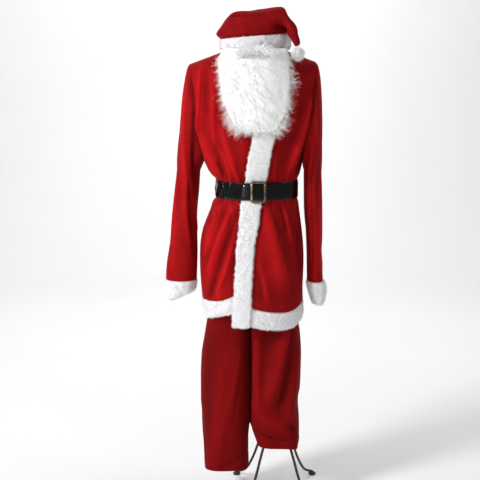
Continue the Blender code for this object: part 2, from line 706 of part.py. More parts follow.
def build_front_strip(fur):
    level = np.array(STRIP_FOOT[::-1] + LOWER_Z + tuple(upper_level(up, FRONT) for up in UPPER_STEPS[:-1]))
    level = np.append(level, upper_level(1.0, FRONT) - CLEAR)[:, None]
    x = along(TRIM, "middle", level) + along(TRIM, "half", level) * STRIP_ROUND["across"]
    z = np.broadcast_to(level, x.shape)
    thick = strip_thickness(z) * STRIP_ROUND["stand"]
    wall("front_strip", on_coat(x, z, FRONT, STRIP_CLEAR + thick), on_coat(x, z, FRONT, STRIP_CLEAR), fur)


# Belt and buckle

BELT_CLEAR, BELT_THICK, BELT_STEPS = 0.0010, 0.0030, 44
BUCKLE = {"x": 0.0370, "z": 0.9925, "half_x": 0.0220, "half_z": 0.0325, "bar": 0.0065, "thick": 0.0040}
BUCKLE_STEPS, BUCKLE_CLEAR = 40, 0.0008
FRAME_CORNER, BAR_CORNER = 0.28, 0.5  # the smaller, the squarer the frame and its bar
BELT_LIFT = 0.030  # width over which the belt climbs onto the strip


def belt_reach(x, z):
    """How far the belt's back stands out from the coat: over the front strip it lies on the strip."""
    before = ramp((x - trim_edge(z, RIGHT, BELT_LIFT)) / BELT_LIFT)
    over = before * ramp((trim_edge(z, LEFT, BELT_LIFT) - x) / BELT_LIFT)
    return BELT_CLEAR + (STRIP_CLEAR + TRIM_UNDER_BELT) * over


def build_belt():
    leather = material("black_vinyl", (0.012, 0.012, 0.013), 0.25)
    brass = material("aged_brass", (0.42, 0.30, 0.13), 0.4, 1.0)
    turn = full_turn(BELT_STEPS)
    rings = []
    for z in np.linspace(BELT_HIGH, BELT_LOW, 3):
        right, left, front, back = (along(COAT, side, z) for side in ("right", "left", "front", "back"))
        x, y = oval(turn, BODY_X - right, left - BODY_X, front, back)
        rings.append(np.stack([BODY_X + x, y, np.full_like(x, z)], axis=-1))
    rings = np.array(rings)
    outward = ring_normals(rings, BODY_X)
    reach = np.where(rings[..., 1] < 0, belt_reach(rings[..., 0], rings[..., 2]), BELT_CLEAR)[..., None]
    wall("belt", rings + outward * (reach + BELT_THICK), rings + outward * reach, leather)

    path = full_turn(BUCKLE_STEPS)[:, None]
    section = full_turn(8)[None, :]
    grow = BUCKLE["bar"] / 2 * (signed_power(np.cos(section), BAR_CORNER) - 1)
    x = BUCKLE["x"] + (BUCKLE["half_x"] + grow) * signed_power(np.cos(path), FRAME_CORNER)
    z = BUCKLE["z"] + (BUCKLE["half_z"] + grow) * signed_power(np.sin(path), FRAME_CORNER)
    rise = BUCKLE["thick"] / 2 * (1 + signed_power(np.sin(section), BAR_CORNER)) + np.zeros_like(x)
    level = np.clip(z, BELT_LOW, BELT_HIGH)
    back = belt_reach(x, level) + BELT_THICK + BUCKLE_CLEAR
    flat = on_coat(x, level, FRONT, back + rise)
    flat[..., 2] += z - level
    bm, _ = sheet_mesh(flat)
    finish("buckle", bm, brass)


# Trousers: two legs, each cut in one piece and sewn up inside the leg, on an elastic waist

TROUSER_X = 0.0115  # middle seam
WAIST_LOW, WAIST_HIGH = 0.9940, 1.0340
WAIST_CLEAR, WAIST_EASE = 0.0007, 0.0016  # gap from the form at the waistband, and under it
CROTCH_HIGH, CROTCH_LOW = 0.8000, 0.7150
HIPS = table(
    "z right left front back",
    [
        (0.560, -0.1200, 0.1620, 0.080, 0.096),
        (0.640, -0.1200, 0.1600, 0.084, 0.094),
        (0.720, -0.1200, 0.1600, 0.090, 0.100),
        (0.800, -0.1200, 0.1620, 0.094, 0.107),
        (0.860, -0.1150, 0.1600, 0.095, 0.106),
        (0.895, -0.1060, 0.1560, 0.094, 0.102),
        (0.930, -0.0960, 0.1540, 0.091, 0.096),
        (0.958, -0.0860, 0.1470, 0.086, 0.088),
    ],
)
LEGS = {
    "right": table(
        "z outer inner front back square",
        [
            (0.080, -0.1285, 0.0100, 0.058, 0.060, 2.2),
            (0.152, -0.1320, 0.0100, 0.058, 0.062, 2.2),
            (0.236, -0.1340, 0.0098, 0.060, 0.066, 2.2),
            (0.319, -0.1370, 0.0106, 0.063, 0.071, 2.2),
            (0.385, -0.1370, 0.0110, 0.066, 0.075, 2.2),
            (0.467, -0.1335, 0.0111, 0.069, 0.078, 2.2),
            (0.530, -0.1270, 0.0111, 0.074, 0.080, 2.2),
            (0.600, -0.1185, 0.0111, 0.078, 0.082, 2.1),
            (0.715, -0.1180, 0.0111, 0.084, 0.088, 2.1),
        ],
    ),
    "left": table(
        "z outer inner front back square",
        [
            (0.150, 0.1640, 0.0430, 0.081, 0.078, 4.0),
            (0.175, 0.1660, 0.0390, 0.080, 0.078, 3.8),
            (0.200, 0.1705, 0.0300, 0.077, 0.077, 3.2),
            (0.240, 0.1705, 0.0150, 0.073, 0.075, 2.6),
            (0.319, 0.1690, 0.0119, 0.070, 0.075, 2.3),
            (0.385, 0.1695, 0.0119, 0.070, 0.076, 2.3),
            (0.467, 0.1705, 0.0119, 0.071, 0.078, 2.2),
            (0.530, 0.1670, 0.0119, 0.074, 0.080, 2.2),
            (0.600, 0.1590, 0.0119, 0.078, 0.082, 2.1),
            (0.715, 0.1580, 0.0119, 0.084, 0.088, 2.1),
        ],
    ),
}
LEG_HEM = table(
    "turn right left",  # height of the hem round the leg; turn runs from inside, round the front
    [(0, 0.100, 0.181), (90, 0.096, 0.179), (180, 0.090, 0.168), (270, 0.098, 0.192), (360, 0.100, 0.181)],
)
LEG_LEVELS = (0.0, 0.10, 0.22, 0.36, 0.51, 0.67, 0.84, 1.0)  # hem up to the crotch
SEAT_LEVELS = (0.745, 0.772, 0.800, 0.860, 0.915, 0.958, 0.985)
LEG_STEPS = 20
LEG_FOLDS = table(
    "side z_low z_high turn_low turn_mid turn_high width height",  # turns in degrees
    [
        (RIGHT, 0.09, 0.60, 122, 92, 62, 22, 0.0060),
        (RIGHT, 0.12, 0.60, 150, 138, 132, 22, -0.0030),
        (RIGHT, 0.12, 0.64, 246, 262, 276, 26, 0.011),
        (LEFT, 0.25, 0.66, 66, 52, 60, 13, 0.0100),
        (LEFT, 0.205, 0.372, 128, 72, 54, 15, 0.0100),
        (LEFT, 0.26, 0.66, 80, 101, 140, 10, 0.0070),
        (LEFT, 0.25, 0.64, 94, 116, 152, 11, -0.0050),
        (LEFT, 0.28, 0.62, 78, 76, 84, 12, -0.0040),
        (LEFT, 0.22, 0.52, 116, 136, 156, 17, 0.009),
        (LEFT, 0.20, 0.64, 264, 256, 272, 26, 0.011),
    ],
)


def hip_section(z, angle):
    """The trousers round the hips. Under the waistband they close in on the form."""
    grip = ramp((z - HIPS["z"][-1]) / (SEAT_LEVELS[-1] - HIPS["z"][-1]))
    hold = {"right": "half", "left": "half", "front": "front", "back": "back"}
    size = {}
    for name, form_name in hold.items():
        loose = np.abs(along(HIPS, name, z) - (BODY_X if form_name == "half" else 0))
        size[name] = loose + (along(TORSO, form_name, z) + WAIST_EASE + PLUSH - loose) * grip
    x, y = oval(angle, size["right"], size["left"], size["front"], size["back"])
    return BODY_X + x, y, size["right"]


def leg_surface(name):
    """Points and outward normals of one leg, from the hem up to the waistband."""
    away = LEFT if name == "left" else RIGHT
    share = np.linspace(0, 1, LEG_STEPS + 1)
    turn = 360 * share
    sizes = LEGS[name]
    levels = [along(LEG_HEM, name, turn) * (1 - up) + CROTCH_LOW * up for up in LEG_LEVELS]
    levels += [np.full_like(share, z) for z in SEAT_LEVELS + (WAIST_LOW - 2 * SEAM,)]
    seam = TROUSER_X + away * SEAM * 0.75
    rows = []
    for z in levels:
        outer, inner, square = (along(sizes, column, z) for column in ("outer", "inner", "square"))
        swing = np.radians(turn)
        ring_x = (outer + inner) / 2 - (outer - inner) / 2 * signed_power(np.cos(swing), 2 / square)
        depth = np.where(share < 0.5, along(sizes, "front", z), along(sizes, "back", z))
        ring_y = -depth * signed_power(np.sin(swing), 2 / square)
        _, _, half = hip_section(z, np.zeros_like(z))
        start = np.arcsin(signed_power((seam - BODY_X) / half, SQUARE / 2))
        hip_x, hip_y, _ = hip_section(z, start + (away * math.pi - 2 * start) * share)
        closed = ramp((CROTCH_HIGH - z) / (CROTCH_HIGH - CROTCH_LOW))
        rows.append(np.stack([hip_x + (ring_x - hip_x) * closed, hip_y + (ring_y - hip_y) * closed, z],
                             axis=-1))
    points = np.array(rows)
    lift = np.zeros(points.shape[:2])
    for n in np.flatnonzero(LEG_FOLDS["side"] == away):
        lift += one_fold(turn, points[..., 2], *(column[n] for column in list(LEG_FOLDS.values())[1:]))
    points = points + leg_normals(points, away, seam) * lift[..., None]
    return points, leg_normals(points, away, seam)


def leg_normals(points, away, seam):
    """Outward normals of a leg. Along the middle seam they never lean across it."""
    closed = grid_normals(points, closed=True)
    opened = grid_normals(points)
    joined = np.linalg.norm(points[:, 0] - points[:, -1], axis=-1) < 1e-6
    normals = np.where(joined[:, None, None], closed, opened)
    middle = points.mean(axis=1, keepdims=True)
    normals *= np.sign(np.mean(np.sum(normals * (points - middle) * (1, 1, 0), axis=-1)))
    at_seam = np.abs(points[..., 0] - seam) < 2 * SEAM
    lean = at_seam & (normals[..., 0] * away > 0)
    normals[lean, 0] = 0
    return unit(normals)


def build_trousers(cloth):
    for name in ("right", "left"):
        points, normals = leg_surface(name)
        wall(f"trouser_leg_{name}", points, points - normals * PLUSH, cloth)
    rings = form_rings(np.linspace(WAIST_HIGH, WAIST_LOW, 3))
    outward = ring_normals(rings, BODY_X)
    wall("waistband", rings + outward * (WAIST_CLEAR + PLUSH), rings + outward * WAIST_CLEAR, cloth)


# Hat: a floppy cone on a fur band, folded over to the left, with a pompom at its tip

HAT_X, HAT_HALF, HAT_DEEP = 0.0270, 0.1035, 0.0885
# Rings of the crown fan round the crease at the left, from the band over the top and down to the tip.
HAT = table(
    "row outer_x outer_z inner_x inner_z y deep",
    [
        (0, -0.0765, 1.4369, 0.1305, 1.4529, 0.0000, 0.0885),
        (1, -0.0885, 1.4520, 0.1330, 1.4600, 0.0000, 0.0915),
        (2, -0.0740, 1.4745, 0.1300, 1.4680, 0.0000, 0.0900),
        (3, -0.0580, 1.4980, 0.1240, 1.4720, -0.0040, 0.0850),
        (4, -0.0350, 1.5150, 0.1200, 1.4730, -0.0100, 0.0790),
        (5, -0.0040, 1.5185, 0.1180, 1.4720, -0.0180, 0.0700),
        (6, 0.0480, 1.5220, 0.1175, 1.4695, -0.0280, 0.0590),
        (7, 0.1045, 1.5290, 0.1180, 1.4660, -0.0400, 0.0470),
        (8, 0.1240, 1.5010, 0.1190, 1.4590, -0.0530, 0.0370),
        (9, 0.1440, 1.4745, 0.1210, 1.4500, -0.0660, 0.0290),
        (10, 0.1540, 1.4440, 0.1300, 1.4370, -0.0730, 0.0210),
        (11, 0.1580, 1.4260, 0.1390, 1.4205, -0.0780, 0.0130),
        (12, 0.1540, 1.4170, 0.1430, 1.4145, -0.0790, 0.0055),
    ],
)
HAT_STEPS, HAT_SQUARE = 18, 2.17
BAND_LEVELS = table(
    "turn low",  # turn from the front, towards the left
    [(-180, 1.405), (-135, 1.406), (-90, 1.4105), (-45, 1.4045), (0, 1.4005), (45, 1.3970), (90, 1.4110),
     (135, 1.4080), (180, 1.405)],
)
BAND_TOP, BAND_TILT = 1.4449, 0.0080  # height of the band's top edge in the middle, and its rise
BAND_OUT, BAND_IN = 0.0060, -0.0060
BAND_ROUND = table("down stand", [(0.0, 0.5), (0.12, 0.95), (0.5, 1.0), (0.88, 0.95), (1.0, 0.5)])
BAND_STEPS = 24
POMPOM = {"x": 0.1505, "y": -0.0820, "z": 1.3942, "radius": 0.0212}


def build_hat(plush, fur):
    swing = full_turn(HAT_STEPS)
    rings = []
    for _, outer_x, outer_z, inner_x, inner_z, y, deep in zip(*HAT.values()):
        x = (outer_x + inner_x) / 2 + (outer_x - inner_x) / 2 * signed_power(np.cos(swing), 2 / HAT_SQUARE)
        z = (outer_z + inner_z) / 2 + (outer_z - inner_z) / 2 * signed_power(np.cos(swing), 2 / HAT_SQUARE)
        rings.append(np.stack([x, y - deep * signed_power(np.sin(swing), 2 / HAT_SQUARE), z], axis=-1))
    points = np.array(rings)
    normals = grid_normals(points, closed=True)
    normals *= np.sign(np.mean(normals[0, :, 0] * (points[0, :, 0] - HAT_X)))
    normals[-1] = unit(points[-1].mean(axis=0) - points[-3].mean(axis=0))
    wall("hat_crown", points, points - normals * PLUSH, plush, cap_rows=(len(points) - 1,))

    turn = full_turn(BAND_STEPS)
    low = along(BAND_LEVELS, "low", (np.degrees(turn) + 180) % 360 - 180)
    x, y = oval(turn, HAT_HALF, HAT_HALF, HAT_DEEP, HAT_DEEP, HAT_SQUARE)
    high = BAND_TOP + BAND_TILT * x / HAT_HALF - SEAM * 1.5
    rings = [np.stack([HAT_X + x, y, high + (low - high) * down], axis=-1) for down in BAND_ROUND["down"]]
    points = np.array(rings)
    outward = unit(ring_normals(points, HAT_X) * (1, 1, 0))
    stand = BAND_OUT * BAND_ROUND["stand"][:, None, None]
    wall("hat_band", points + outward * stand, points + outward * BAND_IN, fur)

    bm = bmesh.new()
    bmesh.ops.create_uvsphere(bm, u_segments=20, v_segments=12, radius=POMPOM["radius"])
    bmesh.ops.translate(bm, verts=bm.verts, vec=(POMPOM["x"], POMPOM["y"], POMPOM["z"]))
    finish("hat_pompom", bm, fur)


# Beard, with its moustache and the elastic that goes round the back of the neck

BEARD = table(
    "z right left back thick wrap",
    [
        (1.1570, 0.0040, 0.0720, -0.1300, 0.010, 0.000),
        (1.1700, -0.0220, 0.0900, -0.1305, 0.018, 0.001),
        (1.1960, -0.0400, 0.1010, -0.1305, 0.024, 0.003),
        (1.2300, -0.0520, 0.1150, -0.1292, 0.027, 0.007),
        (1.2580, -0.0630, 0.1210, -0.1264, 0.028, 0.010),
        (1.2860, -0.0710, 0.1240, -0.1228, 0.028, 0.014),
        (1.3200, -0.0740, 0.1270, -0.1160, 0.028, 0.018),
        (1.3530, -0.0785, 0.1250, -0.1080, 0.027, 0.022),
        (1.3810, -0.0785, 0.1265, -0.1020, 0.025, 0.022),
        (1.3970, -0.0720, 0.1230, -0.1000, 0.021, 0.020),
        (1.4090, -0.0650, 0.1190, -0.0995, 0.015, 0.018),
    ],
)
BEARD_COLUMNS, BEARD_EDGE = 15, 0.30  # the edge keeps this share of the thickness
MOUSTACHE = table(
    "x z half_high half_deep",
    [
        (-0.0285, 1.3930, 0.0020, 0.0020),
        (-0.0200, 1.3960, 0.0080, 0.0070),
        (-0.0050, 1.4020, 0.0125, 0.0095),
        (0.0150, 1.4060, 0.0150, 0.0110),
        (0.0300, 1.4055, 0.0140, 0.0110),
        (0.0470, 1.4060, 0.0150, 0.0110),
        (0.0660, 1.4025, 0.0125, 0.0095),
        (0.0800, 1.3975, 0.0080, 0.0070),
        (0.0885, 1.3950, 0.0020, 0.0020),
    ],
)
MOUSTACHE_Y = -0.1304
ELASTIC = table(
    "run x y z",
    [
        (0, -0.0330, -0.0932, 1.3850),
        (1, -0.0310, -0.0720, 1.3880),
        (2, -0.0300, -0.0560, 1.4000),
        (3, -0.0320, -0.0300, 1.4130),
        (4, -0.0300, 0.0000, 1.4230),
        (5, -0.0170, 0.0255, 1.4300),
        (6, -0.0024, 0.0390, 1.4320),
        (7, 0.0139, 0.0450, 1.4330),
        (8, 0.0300, 0.0463, 1.4335),
        (9, 0.0461, 0.0450, 1.4330),
        (10, 0.0624, 0.0390, 1.4320),
        (11, 0.0770, 0.0255, 1.4300),
        (12, 0.0900, 0.0000, 1.4230),
        (13, 0.0920, -0.0300, 1.4130),
        (14, 0.0900, -0.0560, 1.4000),
        (15, 0.0910, -0.0720, 1.3880),
        (16, 0.0930, -0.0902, 1.3850),
    ],
)
ELASTIC_WIDE, ELASTIC_THICK = 0.0050, 0.0010


def build_beard():
    hair = material("beard_hair", (0.87, 0.88, 0.88), 0.7)
    elastic = material("white_elastic", (0.85, 0.85, 0.85), 0.6)
    share = np.sin(np.linspace(-1, 1, BEARD_COLUMNS) * math.pi / 2)
    front, behind = [], []
    for z, right, left, back, thick, wrap in zip(*BEARD.values()):
        x = (right + left) / 2 + (left - right) / 2 * share
        y = back + wrap * share**2
        swell = thick * (BEARD_EDGE + (1 - BEARD_EDGE) * np.sqrt(1 - share**2))
        front.append(np.stack([x, y - swell, np.full_like(x, z)], axis=-1))
        behind.append(np.stack([x, y, np.full_like(x, z)], axis=-1))
    wall("beard", np.array(front), np.array(behind), hair)

    turn = full_turn(12)
    rings = [np.stack([np.full_like(turn, x), MOUSTACHE_Y + deep * np.cos(turn), z + high * np.sin(turn)],
                      axis=-1) for x, z, high, deep in zip(*MOUSTACHE.values())]
    loft("moustache", np.array(rings), hair)

    runs = np.linspace(0, ELASTIC["run"][-1], 33)
    x, y, z = (along(ELASTIC, column, runs) for column in "xyz")
    middle = np.stack([x, y, z], axis=-1)
    course = unit(np.gradient(middle, axis=0))
    outward = unit(np.cross((0, 0, 1), course))
    upward = np.cross(outward, course)
    strip = middle[None] + np.array([0.5, -0.5])[:, None, None] * ELASTIC_WIDE * upward[None]
    wall("beard_elastic", strip + outward * ELASTIC_THICK, strip, elastic)


red_plush = material("red_plush", (0.42, 0.012, 0.02), 0.85)
dark_plush = material("red_plush_trousers", (0.30, 0.010, 0.018), 0.85)
white_fur = material("white_fur", (0.85, 0.85, 0.86), 0.9)
build_form()
build_coat(red_plush, white_fur)
build_belt()
build_trousers(dark_plush)
build_hat(red_plush, white_fur)
build_beard()
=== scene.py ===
import math

import bmesh
import bpy
import numpy as np
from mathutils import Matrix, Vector


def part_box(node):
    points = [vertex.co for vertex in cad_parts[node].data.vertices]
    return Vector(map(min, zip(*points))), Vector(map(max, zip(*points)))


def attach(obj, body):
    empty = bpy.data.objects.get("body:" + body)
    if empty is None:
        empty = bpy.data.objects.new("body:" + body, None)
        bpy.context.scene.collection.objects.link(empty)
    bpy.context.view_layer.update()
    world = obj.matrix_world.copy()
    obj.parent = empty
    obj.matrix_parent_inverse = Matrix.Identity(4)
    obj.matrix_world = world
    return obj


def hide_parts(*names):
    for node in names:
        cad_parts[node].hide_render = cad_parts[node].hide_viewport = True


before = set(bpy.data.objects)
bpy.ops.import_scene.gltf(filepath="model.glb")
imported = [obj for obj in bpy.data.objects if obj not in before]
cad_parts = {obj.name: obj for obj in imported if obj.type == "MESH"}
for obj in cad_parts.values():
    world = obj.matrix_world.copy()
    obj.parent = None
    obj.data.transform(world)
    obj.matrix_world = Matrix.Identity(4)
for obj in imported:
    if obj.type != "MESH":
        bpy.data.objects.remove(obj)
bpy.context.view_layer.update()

# Display form and its stand. The form is a firm torso under a stretched jersey cover. The stand is black
# painted steel tube: a plate and a pole, a turned hub, and four bent legs on rubber feet.
# Left and right are the wearer's, so +X is left, and -Y is the front.

FRONT, BACK, LEFT, RIGHT = -1, 1, 1, -1
SIDES = {"front": FRONT, "back": BACK, "left": LEFT, "right": RIGHT}


def table(columns, rows):
    """A table in millimetres, kept in metres. Columns marked * hold sides, degrees or plain numbers."""
    lines = [row.split() for row in rows.replace(";", "\n").split("\n") if row.strip()]
    values = np.array([[float(SIDES.get(cell, cell)) for cell in line] for line in lines]).T
    return {name.strip("*"): row / (1 if "*" in name else 1000) for name, row in zip(columns.split(), values)}


def along(rows, column, at):
    """One column of a table, read as a smooth curve that does not overshoot, at first-column values."""
    xs, ys = next(iter(rows.values())), rows[column]
    at = np.clip(at, xs[0], xs[-1])
    rise = np.diff(ys) / np.diff(xs)
    slope = np.concatenate([rise[:1], np.zeros(len(xs) - 2), rise[-1:]])
    steady = rise[:-1] * rise[1:] > 0
    slope[1:-1][steady] = 2 / (1 / rise[:-1][steady] + 1 / rise[1:][steady])
    k = np.clip(np.searchsorted(xs, at) - 1, 0, len(xs) - 2)
    step = xs[k + 1] - xs[k]
    t = (at - xs[k]) / step
    level = ys[k] * (1 + 2 * t) * (1 - t) ** 2 + ys[k + 1] * t**2 * (3 - 2 * t)
    return level + step * t * (1 - t) * (slope[k] * (1 - t) - slope[k + 1] * t)


def node(tree, kind, feeds=None, **settings):
    """A shader or geometry node. Feeds give its inputs a value, or another node's output."""
    made = tree.nodes.new(kind)
    for name, value in settings.items():
        setattr(made, name, value)
    for key, value in (feeds or {}).items():
        if isinstance(value, bpy.types.NodeSocket):
            tree.links.new(value, made.inputs[key])
        else:
            made.inputs[key].default_value = value
    return made


def on_object(tree):
    return node(tree, "ShaderNodeTexCoord").outputs["Object"]


def ranged(tree, value, start=0.0, end=1.0, low=0.0, high=1.0):
    """A value carried from one range over to another."""
    ends = {"From Min": start, "From Max": end, "To Min": low, "To Max": high}
    return node(tree, "ShaderNodeMapRange", {"Value": value, **ends}).outputs[0]


def worked_out(tree, operation, *values):
    return node(tree, "ShaderNodeMath", dict(enumerate(values)), operation=operation).outputs[0]


def bumped(tree, shader, height, distance, strength=1.0):
    bump = node(tree, "ShaderNodeBump", {"Height": height, "Distance": distance, "Strength": strength})
    tree.links.new(bump.outputs["Normal"], shader.inputs["Normal"])


def finish_of(name, **sockets):
    """A material, with plain values set on its Principled shader's own sockets."""
    made = bpy.data.materials.new(name)
    made.use_nodes = True
    shader = made.node_tree.nodes["Principled BSDF"]
    for socket, value in sockets.items():
        shader.inputs[socket.replace("_", " ")].default_value = value
    return made, made.node_tree, shader


def colour_between(tree, shader, share, low, high):
    """Colours the surface between two colours, by a share from 0 to 1."""
    mix = node(tree, "ShaderNodeMix", {"Factor": share, 6: (*low, 1.0), 7: (*high, 1.0)}, data_type="RGBA")
    tree.links.new(mix.outputs[2], shader.inputs["Base Color"])


def speckle_group():
    """Uneven colour and a fine grain, read on the object: the way every worn surface varies."""
    group = bpy.data.node_groups.new("uneven_surface", "ShaderNodeTree")
    for name, way in (("Patch Scale", "INPUT"), ("Grain Scale", "INPUT"), ("Patches", "OUTPUT"),
                      ("Grain", "OUTPUT")):
        group.interface.new_socket(name, in_out=way, socket_type="NodeSocketFloat")
    given, result = node(group, "NodeGroupInput"), node(group, "NodeGroupOutput")
    place = on_object(group)
    for name, noise in (("Patch", {"Detail": 3.0, "Roughness": 0.55, "Distortion": 0.4}),
                        ("Grain", {"Detail": 4.0, "Roughness": 0.6})):
        scale = given.outputs[f"{name} Scale"]
        spots = node(group, "ShaderNodeTexNoise", {"Vector": place, "Scale": scale, **noise})
        group.links.new(spots.outputs["Fac"], result.inputs["Patches" if name == "Patch" else name])
    return group


uneven = speckle_group()


def speckled(tree, patch_scale, grain_scale):
    """The uneven patches and the fine grain, at the scales given."""
    made = node(tree, "ShaderNodeGroup", {"Patch Scale": patch_scale, "Grain Scale": grain_scale},
                node_tree=uneven)
    return made.outputs["Patches"], made.outputs["Grain"]


def worn_finish(name, scales, low, high, spread=None, grain_bump=None, **sockets):
    """A finish that varies in patches between two colours. Spread is the part of the patches they share."""
    made, tree, shader = finish_of(name, **sockets)
    patches, grain = speckled(tree, *scales)
    share = ranged(tree, patches, *spread) if spread else patches
    colour_between(tree, shader, share, low, high)
    if grain_bump:
        bumped(tree, shader, grain, grain_bump)
    return made, tree, shader, share, grain


def ribbed_finish(name, scales, low, high, way, ribs, **sockets):
    """Knitted or braided ribs in one direction."""
    made, tree, shader, *_ = worn_finish(name, scales, low, high, **sockets)
    waves = node(tree, "ShaderNodeTexWave", {"Vector": on_object(tree), **ribs}, bands_direction=way)
    bumped(tree, shader, waves.outputs["Fac"], 0.0003)
    return made


def black_paint():
    """Satin black paint, thinned to grey steel in small scuffs."""
    made, tree, shader, _, grain = worn_finish(
        "black_paint", (60, 900), (0.012, 0.012, 0.013), (0.06, 0.06, 0.062), spread=(0.62, 0.72),
        grain_bump=0.0002, Metallic=0.35, Coat_Weight=0.25, Coat_Roughness=0.3)
    tree.links.new(ranged(tree, grain, low=0.28, high=0.5), shader.inputs["Roughness"])
    return made


def show(piece, finish, slot, *nodes):
    """Gives a piece its finish, and puts it in place of the plain solids that it stands for."""
    if finish.name not in piece.data.materials:
        piece.data.materials.append(finish)
    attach(piece, "root")
    if nodes:
        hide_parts(*nodes)
    return piece


def linked(name, data):
    made = bpy.data.objects.new(name, data)
    bpy.context.scene.collection.objects.link(made)
    return made


def object_of(name, bm, sharp_deg=40):
    """An object in the scene from a bmesh, smooth where its faces turn less than the angle."""
    mesh = bpy.data.meshes.new(name)
    bm.to_mesh(mesh)
    bm.free()
    mesh.shade_smooth()
    mesh.set_sharp_from_angle(angle=math.radians(sharp_deg))
    return linked(name, mesh)


def smooth_copy(name, mesh, weld=1e-5):
    """A copy of a mesh with its faces joined up."""
    bm = bmesh.new()
    bm.from_mesh(mesh)
    bmesh.ops.remove_doubles(bm, verts=bm.verts, dist=weld)
    return object_of(name, bm)


def turned(name, x, y, profile, steps=64):
    """A turned piece: a profile of (radius, height) spun round an upright line."""
    bm = bmesh.new()
    verts = [bm.verts.new((x + r, y, z)) for r, z in profile]
    edges = [bm.edges.new(pair) for pair in zip(verts, verts[1:])]
    bmesh.ops.spin(bm, geom=verts + edges, cent=(x, y, 0), axis=(0, 0, 1), angle=2 * math.pi, steps=steps,
                   use_merge=True)
    bmesh.ops.remove_doubles(bm, verts=bm.verts, dist=1e-6)
    bmesh.ops.recalc_face_normals(bm, faces=bm.faces)
    return object_of(name, bm)


def rounded_post(radius, low, high, edge):
    """The profile of a post with small rounded edges at its top and foot."""
    quarter = [edge * (1 - math.sin(math.radians(a))) for a in (0, 22.5, 45, 67.5, 90)]
    other = quarter[::-1]
    foot = [(radius - q, low + o) for q, o in zip(quarter, other)]
    top = [(radius - q, high - o) for q, o in zip(other, quarter)]
    return [(0, low)] + foot + top + [(0, high)]


jersey = ribbed_finish("stretched_jersey", (6, 700), (0.72, 0.67, 0.60), (0.84, 0.80, 0.73), "X",
                       {"Scale": 190.0, "Distortion": 1.2, "Detail": 2.0, "Detail Scale": 3.0},
                       Roughness=0.85, Sheen_Weight=0.3)
paint = black_paint()
rubber, *_ = worn_finish("foot_rubber", (90, 1500), (0.015, 0.015, 0.016), (0.05, 0.048, 0.045),
                         grain_bump=0.0003, Roughness=0.85)
show(smooth_copy("torso_form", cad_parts["form_torso"].data), jersey, "form_jersey", "form_torso")
POLE_X, PLATE_R, POLE_R, HUB_R = 0.099, 0.024, 0.0115, 0.020
LEG_WIRE_R, FOOT_R, FOOT_T, FOOT_EDGE = 0.0042, 0.012, 0.0058, 0.0012
LEG_TURNS = (-52, -128, 132, 48)  # degrees from the wearer's left, front legs first
# The route of one leg, from the hub out to its foot
BASE_LEG = table("run* r z", """
    0 24.6 285
    1   32 250
    2   46 220
    3   60 192
    4   73 165
    5   86 138
    6  100 106
    7  118  72
    8  148  32
    9  190 9.8
""")
for name, node_name, radius, edge in (("plate", "form_plate", PLATE_R, 0.001),
                                      ("pole", "form_pole", POLE_R, 0.0006),
                                      ("hub", "base_hub", HUB_R, 0.003)):
    low, high = (corner[2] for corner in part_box(node_name))
    show(turned(name, POLE_X, 0, rounded_post(radius, low, high, edge)), paint, "black_steel", node_name)
for number, degrees in enumerate(LEG_TURNS, 1):
    turn = math.radians(degrees)
    line = bpy.data.curves.new(f"leg_line_{number}", "CURVE")
    line.dimensions = "3D"
    line.bevel_depth, line.bevel_resolution, line.use_fill_caps = LEG_WIRE_R, 6, True
    spline = line.splines.new("POLY")
    runs = np.linspace(0, BASE_LEG["run"][-1], 90)
    spline.points.add(len(runs) - 1)
    for point, r, z in zip(spline.points, along(BASE_LEG, "r", runs), along(BASE_LEG, "z", runs)):
        point.co = (POLE_X + r * math.cos(turn), r * math.sin(turn), z, 1)
    bent = linked(f"leg_line_{number}", line)
    bm = bmesh.new()
    bm.from_mesh(bent.to_mesh())
    bpy.data.objects.remove(bent)
    bmesh.ops.remove_doubles(bm, verts=bm.verts, dist=1e-6)
    bmesh.ops.recalc_face_normals(bm, faces=bm.faces)
    show(object_of(f"stand_leg_{number}", bm), paint, "black_steel", f"base_leg_{number}")
    out = BASE_LEG["r"][-1]
    foot = turned(f"stand_foot_{number}", POLE_X + out * math.cos(turn), out * math.sin(turn),
                  rounded_post(FOOT_R, 0, FOOT_T, FOOT_EDGE))
    show(foot, rubber, "foot_rubber", f"base_foot_{number}")


# Trousers. Two legs of red plush, each cut in one piece and sewn up inside the leg, gathered on an elastic
# waistband that grips the form. A deep hem is turned up and stitched. The left leg's foot is hitched up
# over the stand, so it sags into a swag with one sharp crease above it.

SEAM, PLUSH = 0.0003, 0.0020  # the gap at a seam, and the cloth's thickness
BODY_X, SQUARE = 0.030, 2.3  # the middle of the body, and how square its sections are


def ramp(t):
    """0 below 0, 1 above 1, and smooth between."""
    t = np.clip(t, 0, 1)
    return t * t * (3 - 2 * t)


def bell(away):
    return np.exp(-(away**2))


def unit(vectors):
    return vectors / np.linalg.norm(vectors, axis=-1, keepdims=True)


def moved(points, normals, by):
    return points + normals * by[..., None]


def signed_power(value, power):
    return np.sign(value) * np.abs(value) ** power


def full_turn(steps):
    return np.linspace(0, 2 * math.pi, steps + 1)


def oval(angle, right, left, front, back, square=SQUARE):
    """A rounded section read at angles from the front towards the left: offsets from its centre."""
    x = signed_power(np.sin(angle), 2 / square)
    y = -signed_power(np.cos(angle), 2 / square)
    return np.where(x < 0, right, left) * x, np.where(y < 0, front, back) * y


def grid_normals(points, closed=False):
    """Unit normals of a grid of points. On a closed grid the last column repeats the first."""
    if closed:
        wrapped = np.concatenate([points[:, -2:-1], points, points[:, 1:2]], axis=1)
        across = wrapped[:, 2:] - wrapped[:, :-2]
    else:
        across = np.gradient(points, axis=1)
    return unit(np.cross(across, np.gradient(points, axis=0)))


